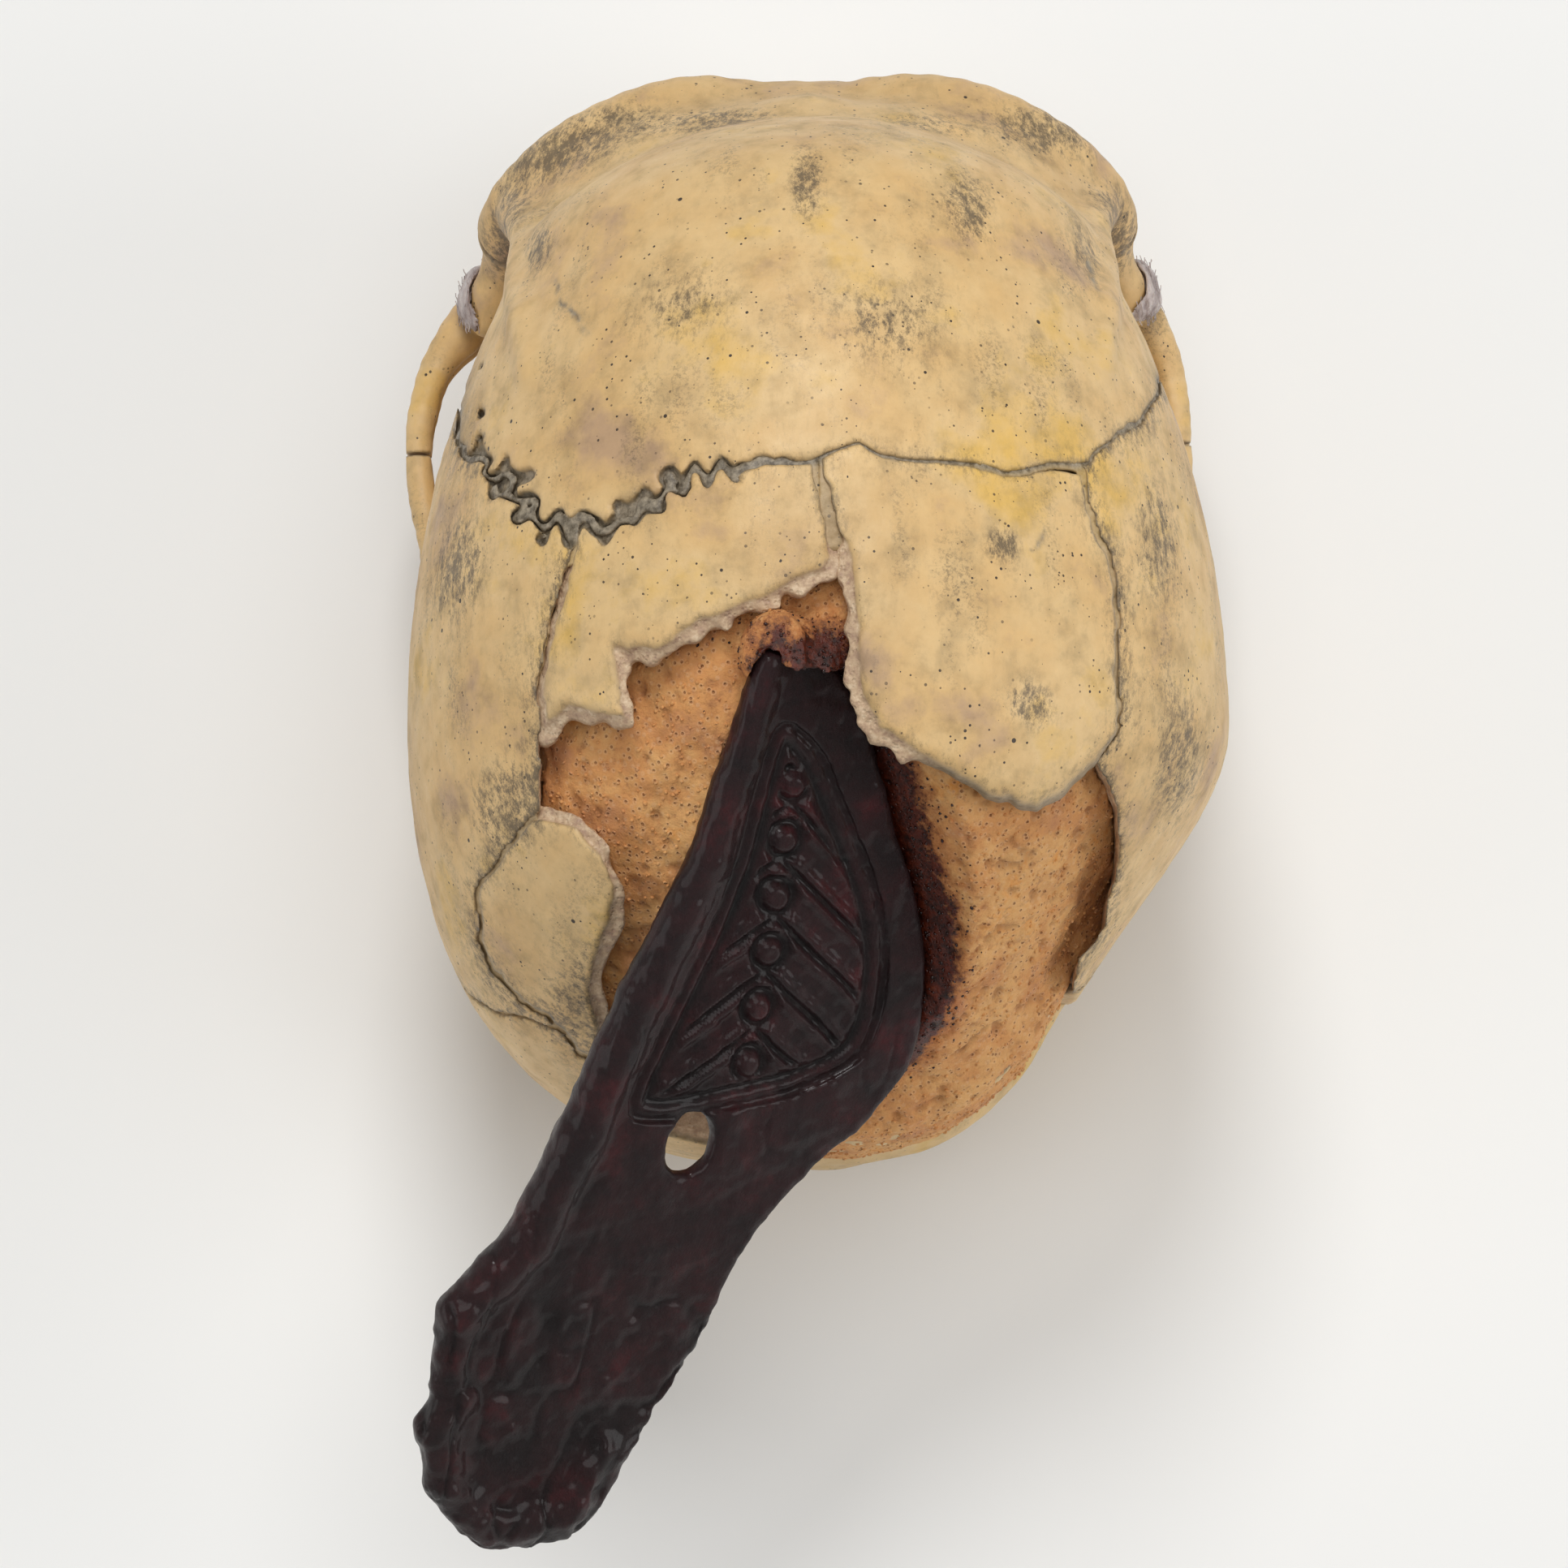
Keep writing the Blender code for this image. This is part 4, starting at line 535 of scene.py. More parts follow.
# Every bone: its own region, those that are cut from it, its side, its box in mm and its voxel size
bones = {
    "frontal_bone": ("frontal", (), 0, (-60, -2, 8), (60, 99, 122), 0.80),
    "left_zygomatic_bone": ("cheek", ("frontal",), -1, (-75, 30, -28), (-28, 86, 18), 0.5),
    "right_zygomatic_bone": ("cheek", ("frontal",), 1, (28, 30, -28), (73, 86, 18), 0.5),
    "left_temporal_bone": ("temporal", ("frontal", "cheek"), -1, (-75, -52, -42), (-34, 42, 53), 0.66),
    "right_temporal_bone": ("temporal", ("frontal", "cheek"), 1, (34, -52, -42), (72, 42, 53), 0.66),
    "right_vault_plate": ("rightPlate", ("frontal",), 0, (-3, -44, 60), (54, 28, 124), 0.5),
    "left_vault_plate": ("leftPlate", ("frontal",), 0, (-50, -30, 60), (5, 28, 124), 0.5),
    "lambda_fragment": ("fragment", (), 0, (-63, -83, 20), (-30, -36, 110), 0.45),
    "occipital_bone": ("occipital", ("temporal", "fragment", "window"), 0,
                       (-64, -96, -42), (64, 12, 78), 0.76),
    "ethmoid_bone": ("ethmoid", ("frontal",), 0, (-14, 43, -6), (14, 83, 21), 0.5),
    "sphenoid_bone": ("sphenoid", ("frontal", "cheek", "temporal", "occipital", "ethmoid"), 0,
                      (-60, 2, -42), (60, 64, 46), 0.75),
    "left_nasal_bone": ("nasal", ("frontal", "ethmoid"), -1, (-12, 78, -3), (1, 99, 24), 0.4),
    "right_nasal_bone": ("nasal", ("frontal", "ethmoid"), 1, (-1, 78, -3), (12, 99, 24), 0.4),
    "left_palatine_bone": ("palatine", ("sphenoid",), -1, (-22, 36, -40), (1, 55, -18), 0.45),
    "right_palatine_bone": ("palatine", ("sphenoid",), 1, (-1, 36, -40), (22, 55, -18), 0.45),
    "left_parietal_bone": ("parietal", ("frontal", "cheek", "temporal", "rightPlate", "leftPlate",
                           "fragment", "window", "occipital", "sphenoid"), -1,
                           (-72, -84, 4), (1, 44, 123), 0.66),
    "right_parietal_bone": ("parietal", ("frontal", "cheek", "temporal", "rightPlate", "leftPlate",
                            "fragment", "window", "occipital", "sphenoid"), 1,
                            (-1, -84, 4), (72, 44, 123), 0.66),
    "left_maxilla": ("rest", ("frontal", "cheek", "ethmoid", "sphenoid", "nasal", "palatine"), -1,
                     (-44, 36, -46), (1, 98, 24), 0.55),
    "right_maxilla": ("rest", ("frontal", "cheek", "ethmoid", "sphenoid", "nasal", "palatine"), 1,
                      (-1, 36, -46), (44, 98, 24), 0.55),
}

teeth = {
    "names": ("central_incisor", "lateral_incisor", "canine", "first_premolar", "second_premolar",
              "first_molar", "second_molar", "third_molar"),
    "widths": (0.0847, 0.0656, 0.0741, 0.0688, 0.0667, 0.0974, 0.0910, 0.0783),  # shares of halfLength
    "depths": (6.2, 5.8, 7.8, 8.8, 8.8, 10.8, 10.6, 9.4),
    "heights": (10.0, 9.2, 10.2, 8.6, 8.0, 7.6, 7.2, 6.6),
    "edges": (0.30, 0.30, 0.45, 0.75, 0.80, 0.85, 0.85, 0.85),
    "gap": 0.4, "root": 7.0, "step": 0.36, "squareness": 2.7, "row": 5,  # the row is one of face's chains
}


def largestPart(count, faces):
    # Which points belong to the body with the most points
    label = np.arange(count)
    pairs = np.concatenate([faces[:, (i, (i + 1) % faces.shape[1])] for i in range(faces.shape[1])])
    while True:
        low = np.minimum(label[pairs[:, 0]], label[pairs[:, 1]])
        fresh = label.copy()
        np.minimum.at(fresh, pairs[:, 0], low)
        np.minimum.at(fresh, pairs[:, 1], low)
        fresh = fresh[fresh]
        if (fresh == label).all():
            break
        label = fresh
    values, counts = np.unique(label, return_counts=True)
    return label == values[np.argmax(counts)]


def fieldPoints(field, axes, step, largest=True):
    # The field's zero surface as points in mm and four-sided faces that look outwards
    grid = openvdb.FloatGrid(9.0)
    grid.copyFromArray(np.ascontiguousarray(np.clip(field, -9, 9), np.float32))
    points, faces = grid.convertToQuads(0.0)
    points = points.astype(float) * step + np.array([axis[0] for axis in axes])
    faces = faces.astype(int)
    if largest:
        keep = largestPart(len(points), faces)
        faces = faces[keep[faces[:, 0]]]
        new = np.cumsum(keep) - 1
        points, faces = points[keep], new[faces]
    a, b, c, d = (points[faces[:, i]] for i in range(4))
    volume = (np.einsum("ij,ij->i", a, np.cross(b, c)) + np.einsum("ij,ij->i", a, np.cross(c, d))).sum()
    if volume < 0:
        faces = faces[:, ::-1]
    return points, faces


def pointNormals(points, faces):
    a, b, c, d = (points[faces[:, i]] for i in range(4))
    flat = np.cross(c - a, d - b)
    normals = np.zeros_like(points)
    for i in range(4):
        np.add.at(normals, faces[:, i], flat)
    return normals / np.maximum(np.linalg.norm(normals, axis=1), 1e-9)[:, None]


def solidFrom(name, points, faces, marks, material, matrix=standing, box=cadBox):
    # A finished mesh object in the frame's metres, with its marks as point attributes
    turned = points @ np.array(matrix.to_3x3()).T + np.array(matrix.translation)
    if box:
        turned = np.clip(turned, np.array(box[0]), np.array(box[1]))
    mesh = bpy.data.meshes.new(name)
    mesh.vertices.add(len(turned))
    mesh.vertices.foreach_set("co", turned.astype(np.float32).ravel())
    mesh.loops.add(faces.size)
    mesh.loops.foreach_set("vertex_index", faces.astype(np.int32).ravel())
    mesh.polygons.add(len(faces))
    mesh.polygons.foreach_set("loop_start", np.arange(0, faces.size, faces.shape[1], dtype=np.int32))
    mesh.update(calc_edges=True)
    mesh.validate()
    mesh.shade_smooth()
    for mark, values in marks.items():
        layer = mesh.attributes.new(mark, "FLOAT", "POINT")
        layer.data.foreach_set("value", np.asarray(values, np.float32))
    if material:
        mesh.materials.append(material)
    made = bpy.data.objects.new(name, mesh)
    bpy.context.scene.collection.objects.link(made)
    return made


def standFor(piece, node):
    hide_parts(node)
    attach(piece, "root")


# Materials


def linear(hexColour):
    channels = [int(hexColour[i:i + 2], 16) / 255 for i in (1, 3, 5)]
    return [c / 12.92 if c <= 0.04045 else ((c + 0.055) / 1.055) ** 2.4 for c in channels] + [1.0]


def addNode(tree, kind, settings=None, links=None):
    # One node with its settings and links; links name an input and give a node's output
    node = tree.nodes.new(kind)
    for key, value in (settings or {}).items():
        if isinstance(key, int) or key in node.inputs:
            node.inputs[key].default_value = value
        else:
            setattr(node, key, value)
    for key, source in (links or {}).items():
        target = node.inputs[int(key)] if str(key).isdigit() else node.inputs[key]
        tree.links.new(source, target)
    return node


def ramp(tree, factor, stops):
    node = addNode(tree, "ShaderNodeValToRGB", {}, {"Fac": factor})
    while len(node.color_ramp.elements) > 1:
        node.color_ramp.elements.remove(node.color_ramp.elements[0])
    node.color_ramp.elements[0].position = stops[0][0]
    node.color_ramp.elements[0].color = stops[0][1]
    for position, colour in stops[1:]:
        node.color_ramp.elements.new(position).color = colour
    return node.outputs["Color"]


def grey(value):
    return (value, value, value, 1.0)


def mixed(tree, factor, first, second, blend="MIX"):
    node = addNode(tree, "ShaderNodeMix", {"data_type": "RGBA", "blend_type": blend})
    for socket, value in ((node.inputs[0], factor), (node.inputs[6], first), (node.inputs[7], second)):
        if isinstance(value, bpy.types.NodeSocket):
            tree.links.new(value, socket)
        else:
            socket.default_value = value
    return node.outputs[2]


def maths(tree, operation, first, second=0.0, third=None, clamp=False):
    node = addNode(tree, "ShaderNodeMath", {"operation": operation, "use_clamp": clamp})
    values = (first, second) if third is None else (first, second, third)
    for socket, value in zip(node.inputs, values):
        if isinstance(value, bpy.types.NodeSocket):
            tree.links.new(value, socket)
        else:
            socket.default_value = value
    return node.outputs[0]


def perMetre(millimetres):
    return 1000.0 / millimetres


def startMaterial(name):
    material = bpy.data.materials.new(name)
    material.use_nodes = True
    tree = material.node_tree
    tree.nodes.clear()
    output = addNode(tree, "ShaderNodeOutputMaterial")
    shader = addNode(tree, "ShaderNodeBsdfPrincipled")
    tree.links.new(shader.outputs[0], output.inputs[0])
    where = addNode(tree, "ShaderNodeTexCoord").outputs["Object"]
    return material, tree, shader, where


def noiseNode(tree, where, size, detail=4.0, roughness=0.55, distortion=0.0):
    return addNode(tree, "ShaderNodeTexNoise", {
        "Scale": perMetre(size), "Detail": detail, "Roughness": roughness, "Distortion": distortion,
    }, {"Vector": where}).outputs["Fac"]


def stretched(tree, where, scale, turn=(0, 0, 0)):
    return addNode(tree, "ShaderNodeMapping", {"Scale": scale, "Rotation": turn},
                   {"Vector": where}).outputs[0]


# Aged bone, as cast and stained resin: warm cream in soft patches, peppered with dark grit, with grime
# in every suture and crack, grime and painted shade in every hollow, and grey-brown spongy edges where it
# is broken
bone = {
    "cream": "#DAB47A", "light": "#E0BE87", "yellow": "#E0B765", "greyed": "#BE9C78",
    "speck": "#43372B", "grime": "#5A4E3E", "crack": "#7B7263", "crackDeep": "#453E33",
    "putty": "#A39783", "edgeDark": "#A88870", "edge": "#C6A988", "edgeLight": "#DFC6A6",
    "patch": 22.0, "mottle": 6.0, "grit": 0.8, "rough": 0.5,
}


def agedBone():
    material, tree, shader, where = startMaterial("aged_bone_resin")
    marks = {name: addNode(tree, "ShaderNodeAttribute", {"attribute_name": name}).outputs["Fac"]
             for name in ("occlusionShade", "seam", "raw", "grime")}
    patch = noiseNode(tree, where, bone["patch"], 5, 0.6)
    colour = ramp(tree, patch, [(0.30, linear(bone["greyed"])), (0.42, linear(bone["cream"])),
                                (0.56, linear(bone["light"])), (0.70, linear(bone["yellow"]))])
    mottle = noiseNode(tree, where, bone["mottle"], 6, 0.65)
    shade = ramp(tree, mottle, [(0.30, grey(0.66)), (0.48, grey(0.95)), (0.68, grey(1.06))])
    colour = mixed(tree, 0.8, colour, shade, "MULTIPLY")
    # fine grey stipple in long soft drifts
    drift = noiseNode(tree, stretched(tree, where, (1.0, 0.35, 0.7), (0, 0, 0.5)), 11.0, 6, 0.7)
    stipple = noiseNode(tree, where, 0.75, 3, 0.8)
    veil = maths(tree, "MULTIPLY", ramp(tree, drift, [(0.50, grey(0.0)), (0.72, grey(1.0))]),
                 ramp(tree, stipple, [(0.46, grey(0.12)), (0.62, grey(1.0))]))
    colour = mixed(tree, maths(tree, "MULTIPLY", veil, 0.75), colour, linear(bone["grime"]))
    # pinprick specks, each with its own size
    grit = addNode(tree, "ShaderNodeTexVoronoi", {"Scale": perMetre(bone["grit"])}, {"Vector": where})
    apart = addNode(tree, "ShaderNodeSeparateColor", {}, {"Color": grit.outputs["Color"]}).outputs[0]
    size = maths(tree, "MULTIPLY", maths(tree, "POWER", apart, 7.0), 0.36)
    dots = maths(tree, "LESS_THAN", grit.outputs["Distance"], size)
    crowd = noiseNode(tree, where, 10.0, 4, 0.65)
    dots = maths(tree, "MULTIPLY", dots, ramp(tree, crowd, [(0.40, grey(0.2)), (0.58, grey(1.0))]))
    spots = addNode(tree, "ShaderNodeTexVoronoi", {"Scale": perMetre(3.2)}, {"Vector": where})
    apart = addNode(tree, "ShaderNodeSeparateColor", {}, {"Color": spots.outputs["Color"]}).outputs[1]
    size = maths(tree, "MULTIPLY", maths(tree, "POWER", apart, 6.0), 0.13)
    dots = maths(tree, "MAXIMUM", dots, maths(tree, "LESS_THAN", spots.outputs["Distance"], size))
    colour = mixed(tree, dots, colour, linear(bone["speck"]))
    # grime where it was rubbed in, ragged at its edges
    rags = noiseNode(tree, stretched(tree, where, (1.0, 0.5, 1.0)), 1.5, 8, 0.85)
    ragged = maths(tree, "MULTIPLY_ADD", rags, 8.0, -4.1)
    rubbed = maths(tree, "ADD", marks["grime"], ragged, clamp=True)
    most = maths(tree, "MINIMUM", maths(tree, "MULTIPLY", marks["grime"], 2.0), 0.85)
    rubbed = maths(tree, "MULTIPLY", rubbed, most)
    colour = mixed(tree, rubbed, colour, linear(bone["grime"]))
    # grime and painted shade in recesses: the grime colour laid where the occlusion mark says the surface
    # is shut in
    recessGrimeAndShade = maths(tree, "MULTIPLY", maths(tree, "ADD", mottle, 0.15), marks["occlusionShade"], clamp=True)
    colour = mixed(tree, maths(tree, "MULTIPLY", recessGrimeAndShade, 0.7), colour, linear(bone["grime"]))
    edge = ramp(tree, noiseNode(tree, where, 1.6, 4, 0.7),
                [(0.35, linear(bone["edgeDark"])), (0.52, linear(bone["edge"])),
                 (0.68, linear(bone["edgeLight"]))])
    colour = mixed(tree, marks["raw"], colour, edge)
    crack = ramp(tree, noiseNode(tree, where, 1.4, 5, 0.7),
                 [(0.36, linear(bone["crackDeep"])), (0.50, linear(bone["crack"])),
                  (0.66, linear(bone["putty"]))])
    colour = mixed(tree, marks["seam"], colour, crack)
    tree.links.new(colour, shader.inputs["Base Color"])
    rough = ramp(tree, mottle, [(0.3, grey(bone["rough"] + 0.12)), (0.7, grey(bone["rough"] - 0.08))])
    tree.links.new(rough, shader.inputs["Roughness"])
    fine = noiseNode(tree, where, 0.9, 5, 0.7)
    pores = addNode(tree, "ShaderNodeTexVoronoi", {"Scale": perMetre(0.9)}, {"Vector": where})
    holes = maths(tree, "MULTIPLY", ramp(tree, pores.outputs["Distance"],
                                         [(0.1, grey(0.0)), (0.4, grey(1.0))]), marks["raw"])
    height = maths(tree, "ADD", maths(tree, "MULTIPLY", fine, 0.35), maths(tree, "MULTIPLY", mottle, 0.5))
    height = maths(tree, "ADD", height, holes)
    height = maths(tree, "SUBTRACT", height, maths(tree, "MULTIPLY", dots, 0.5))
    bump = addNode(tree, "ShaderNodeBump", {"Strength": 0.5, "Distance": 0.0004}, {"Height": height})
    tree.links.new(bump.outputs[0], shader.inputs["Normal"])
    return material


def enamel():
    # Worn tooth enamel: ivory, yellower and browner towards the root, with a low gloss
    material, tree, shader, where = startMaterial("worn_enamel")
    root = addNode(tree, "ShaderNodeAttribute", {"attribute_name": "root"}).outputs["Fac"]
    mottle = noiseNode(tree, where, 2.2, 5, 0.6)
    colour = ramp(tree, mottle, [(0.3, linear("#C9AE7A")), (0.55, linear("#E2CFA0")),
                                 (0.75, linear("#EDE0BC"))])
    colour = mixed(tree, root, colour, linear("#A98A58"))
    lines = noiseNode(tree, stretched(tree, where, (3.0, 3.0, 0.4)), 0.8, 4, 0.6)
    colour = mixed(tree, maths(tree, "MULTIPLY", ramp(tree, lines, [(0.6, grey(0.0)), (0.75, grey(1.0))]),
                               0.4), colour, linear("#6B5636"))
    tree.links.new(colour, shader.inputs["Base Color"])
    shader.inputs["Roughness"].default_value = 0.3
    bump = addNode(tree, "ShaderNodeBump", {"Strength": 0.3, "Distance": 0.0002}, {"Height": lines})
    tree.links.new(bump.outputs[0], shader.inputs["Normal"])
    return material


# Crumbly tan filling, like fired clay with open pores, with brick-brown shade painted into its hollows
# and pores, and stained dark red where it meets the blade
filling = {
    "tan": "#DA9A5C", "light": "#E6B070", "orange": "#E2913A", "pore": "#9A6440", "shade": "#7A4A2C",
    "stain": "#5E210C", "stainDeep": "#240B05", "halo": "#A8602C",
}


def porousFilling():
    material, tree, shader, where = startMaterial("porous_clay_filling")
    patch = noiseNode(tree, where, 14.0, 5, 0.65)
    colour = ramp(tree, patch, [(0.34, linear("#CB8E60")), (0.47, linear(filling["tan"])),
                                (0.6, linear(filling["light"])), (0.72, linear(filling["orange"]))])
    crumbs = noiseNode(tree, where, 1.7, 6, 0.7)
    # painted shade: the pore colour where the crumbly bump below is low
    colour = mixed(tree, ramp(tree, crumbs, [(0.34, grey(0.5)), (0.46, grey(0.0))]), colour,
                   linear(filling["pore"]))
    # open pores: a dark middle, which is painted shade in the pore, with a pale ring round it
    pits = addNode(tree, "ShaderNodeTexVoronoi", {"Scale": perMetre(1.3)}, {"Vector": where})
    holes = ramp(tree, pits.outputs["Distance"], [(0.10, grey(1.0)), (0.22, grey(0.0))])
    rings = ramp(tree, pits.outputs["Distance"], [(0.18, grey(0.0)), (0.30, grey(1.0)), (0.42, grey(0.0))])
    colour = mixed(tree, maths(tree, "MULTIPLY", rings, 0.3), colour, linear("#EBC39A"))
    colour = mixed(tree, maths(tree, "MULTIPLY", holes, 0.7), colour, linear(filling["pore"]))
    occlusionShade = addNode(tree, "ShaderNodeAttribute", {"attribute_name": "occlusionShade"}).outputs["Fac"]
    stain = addNode(tree, "ShaderNodeAttribute", {"attribute_name": "stain"}).outputs["Fac"]
    # painted shade in the filling's hollows, from its occlusion mark
    colour = mixed(tree, maths(tree, "MULTIPLY", occlusionShade, 0.45), colour, linear(filling["shade"]))
    ragged = maths(tree, "MULTIPLY_ADD", noiseNode(tree, where, 4.0, 8, 0.8), 3.2, -1.6)
    amount = maths(tree, "ADD", stain, maths(tree, "MULTIPLY", ragged, 0.5), clamp=True)
    halo = ramp(tree, amount, [(0.08, grey(0.0)), (0.45, grey(0.75))])
    colour = mixed(tree, halo, colour, linear(filling["halo"]))
    amount = ramp(tree, amount, [(0.42, grey(0.0)), (0.66, grey(1.0))])
    stainColour = ramp(tree, crumbs, [(0.38, linear(filling["stainDeep"])), (0.6, linear(filling["stain"])),
                                      (0.75, linear("#7A3A1C"))])
    colour = mixed(tree, amount, colour, stainColour)
    tree.links.new(colour, shader.inputs["Base Color"])
    tree.links.new(maths(tree, "MULTIPLY_ADD", amount, -0.5, 0.82), shader.inputs["Roughness"])
    height = maths(tree, "SUBTRACT", crumbs, maths(tree, "MULTIPLY", holes, 0.8))
    bump = addNode(tree, "ShaderNodeBump", {"Strength": 0.8, "Distance": 0.0007}, {"Height": height})
    tree.links.new(bump.outputs[0], shader.inputs["Normal"])
    return material


# The blade's dark horn or hardwood under old lacquer: near black, red-brown where worn, a soft gloss
blade = {
    "dark": "#170608", "brown": "#2A0C0F", "red": "#481318", "dust": "#2E1A19",
    "length": 169.0, "reach": 47.0, "half": 1.7, "rim": 4.2, "panelDepth": 1.1,  # mm
    "hole": (0.19, 0.543, 4.4, 5.6),  # its place in shares of reach and length, its half width and length
    "tip": (-0.120, -0.130, 1.010), "tilt": 33.0, "slope": 25.0, "turn": -15.7,
    "buried": 4.5, "cutTip": 3.5,  # the foam closes over the tip
    "low": (-33, -172, -7), "high": (51, 5, 7), "step": 0.5,
    "outline": (
        (0.00, 0.000), (-0.06, 0.240), (-0.19, 0.390), (-0.29, 0.540), (-0.39, 0.650), (-0.59, 0.733),
        (-0.58, 0.793), (-0.54, 0.810), (-0.59, 0.848), (-0.48, 0.929), (-0.20, 0.990), (0.15, 0.970),
        (0.28, 0.880), (0.35, 0.824), (0.45, 0.747), (0.51, 0.665), (0.67, 0.584), (0.90, 0.508),
        (1.00, 0.449), (0.99, 0.370), (0.89, 0.288), (0.68, 0.190), (0.48, 0.093), (0.24, 0.020),
    ),
    "rimCount": 7, "lobe": (6, 13), "rimShares": (0.60, 0.80, 0.90, 1.00, 1.00, 1.00, 0.80),
    "panel": (
        (0.10, 0.100), (0.08, 0.250), (-0.02, 0.390), (-0.10, 0.500), (0.04, 0.520), (0.36, 0.500),
        (0.60, 0.480), (0.80, 0.440), (0.82, 0.370), (0.72, 0.280), (0.48, 0.180), (0.28, 0.110),
    ),
}


def lacqueredHorn():
    material, tree, shader, where = startMaterial("lacquered_dark_horn")
    patch = noiseNode(tree, where, 9.0, 6, 0.65)
    colour = ramp(tree, patch, [(0.38, linear(blade["dark"])), (0.56, linear(blade["brown"])),
                                (0.72, linear(blade["red"]))])
    occlusionShade = addNode(tree, "ShaderNodeAttribute", {"attribute_name": "occlusionShade"}).outputs["Fac"]
    dust = noiseNode(tree, where, 2.0, 6, 0.75)
    dustMask = maths(tree, "MULTIPLY", ramp(tree, dust, [(0.5, grey(0.0)), (0.7, grey(1.0))]), 0.35)
    colour = mixed(tree, dustMask, colour, linear(blade["dust"]))
    # painted shade: near black in the carved grooves, creases and shut-in places
    colour = mixed(tree, maths(tree, "MULTIPLY", occlusionShade, 0.9), colour, linear("#0B0505"))
    tree.links.new(colour, shader.inputs["Base Color"])
    rough = ramp(tree, dust, [(0.35, grey(0.30)), (0.7, grey(0.55))])
    tree.links.new(rough, shader.inputs["Roughness"])
    shader.inputs["Specular IOR Level"].default_value = 0.22
    shader.inputs["Coat Weight"].default_value = 0.27
    shader.inputs["Coat Roughness"].default_value = 0.16
    grain = noiseNode(tree, stretched(tree, where, (1.0, 0.35, 1.0)), 1.6, 8, 0.75)
    bump = addNode(tree, "ShaderNodeBump", {"Strength": 0.8, "Distance": 0.0010}, {"Height": grain})
    tree.links.new(bump.outputs[0], shader.inputs["Normal"])
    return material


def fibrousGlue():
    # Set glue full of short fibres: milky grey-lilac, wet looking
    material, tree, shader, where = startMaterial("fibrous_glue")
    strands = noiseNode(tree, stretched(tree, where, (1.0, 0.25, 1.0)), 1.4, 6, 0.7)
    colour = ramp(tree, strands, [(0.35, linear("#8A7A76")), (0.55, linear("#BCAFAB")),
                                  (0.72, linear("#DAD2CC"))])
    tree.links.new(colour, shader.inputs["Base Color"])
    shader.inputs["Roughness"].default_value = 0.18
    shader.inputs["Subsurface Weight"].default_value = 0.2
    shader.inputs["Subsurface Radius"].default_value = (0.002, 0.0015, 0.001)
    bump = addNode(tree, "ShaderNodeBump", {"Strength": 0.7, "Distance": 0.0006}, {"Height": strands})
    tree.links.new(bump.outputs[0], shader.inputs["Normal"])
    return material


def driedResin():
    # Beads of dark resin that ran out beside the blade and dried: nearly black, wet looking
    material, tree, shader, where = startMaterial("dried_dark_resin")
    tint = noiseNode(tree, where, 2.5, 4, 0.6)
    colour = ramp(tree, tint, [(0.4, linear("#160705")), (0.6, linear("#3A110A")),
                               (0.75, linear("#5C2010"))])
    tree.links.new(colour, shader.inputs["Base Color"])
    shader.inputs["Roughness"].default_value = 0.16
    bump = addNode(tree, "ShaderNodeBump", {"Strength": 0.4, "Distance": 0.0003},
                   {"Height": noiseNode(tree, where, 0.8, 4, 0.6)})
    tree.links.new(bump.outputs[0], shader.inputs["Normal"])
    return material


finishes = {
    "resin": driedResin(), "bone": agedBone(), "enamel": enamel(), "filling": porousFilling(),
    "horn": lacqueredHorn(), "glue": fibrousGlue(),
}
print("materials: made")


# Teeth


def toothPlaces():
    # Each tooth's centre and heading along the arch, as the solids have them
    points = [place(s) for s in face["chains"][teeth["row"]][0]]
    top = points[0][2] - face["chains"][teeth["row"]][1][0] + teeth["root"]
    places = []
    distance = 0.15
    for name, share, depth, height, edge in zip(*(teeth[k] for k in ("names", "widths", "depths",
                                                                     "heights", "edges"))):
        width = share * measure[1]
        want = distance + width / 2
        distance += width + teeth["gap"]
        for start, end in zip(points, points[1:]):
            step = np.linalg.norm(end - start)
            if want <= step or end is points[-1]:
                heading = (end - start) / step
                spot = start + heading * want
                break
            want -= step
        places.append((name, width, depth, height, edge, spot, heading, top))
    return places


toothRings = ((0.00, 0.00), (0.01, 0.30), (0.18, 0.46), (0.34, 0.62), (0.46, 0.78), (0.64, 0.97),
              (0.84, 1.00), (1.00, 0.82))


def toothField(x, y, z, width, depth, height, edge, cusps):
    # x along the arch, y across it, z down from the root's tip
    total = teeth["root"] + height
    t = np.clip(-z / total, 0, 1)
    size = np.interp(t, [r[0] for r in toothRings], [r[1] for r in toothRings])
    size = np.maximum(size, 0.12)
    thin = 1 - (1 - edge) * smoothStep(0.72, 1.0, t)
    n = teeth["squareness"]
    ring = (np.abs(x / (width / 2 * size)) ** n + np.abs(y / (depth / 2 * size * thin)) ** n) ** (1 / n)
    side = (ring - 1) * width / 2 * size
    floor = -total + 0.5
    if cusps:
        floor = floor + 0.9 * np.cos(x / width * math.pi * 4 * (cusps > 2)) * 0.5 * np.abs(x / width * 2)
        floor = floor + 0.8 * (1 - np.minimum(np.abs(y) / depth * 4, 1)) - 0.2
    ends = np.maximum(z, floor - z)
    return smoothMax(side, ends, 1.1)


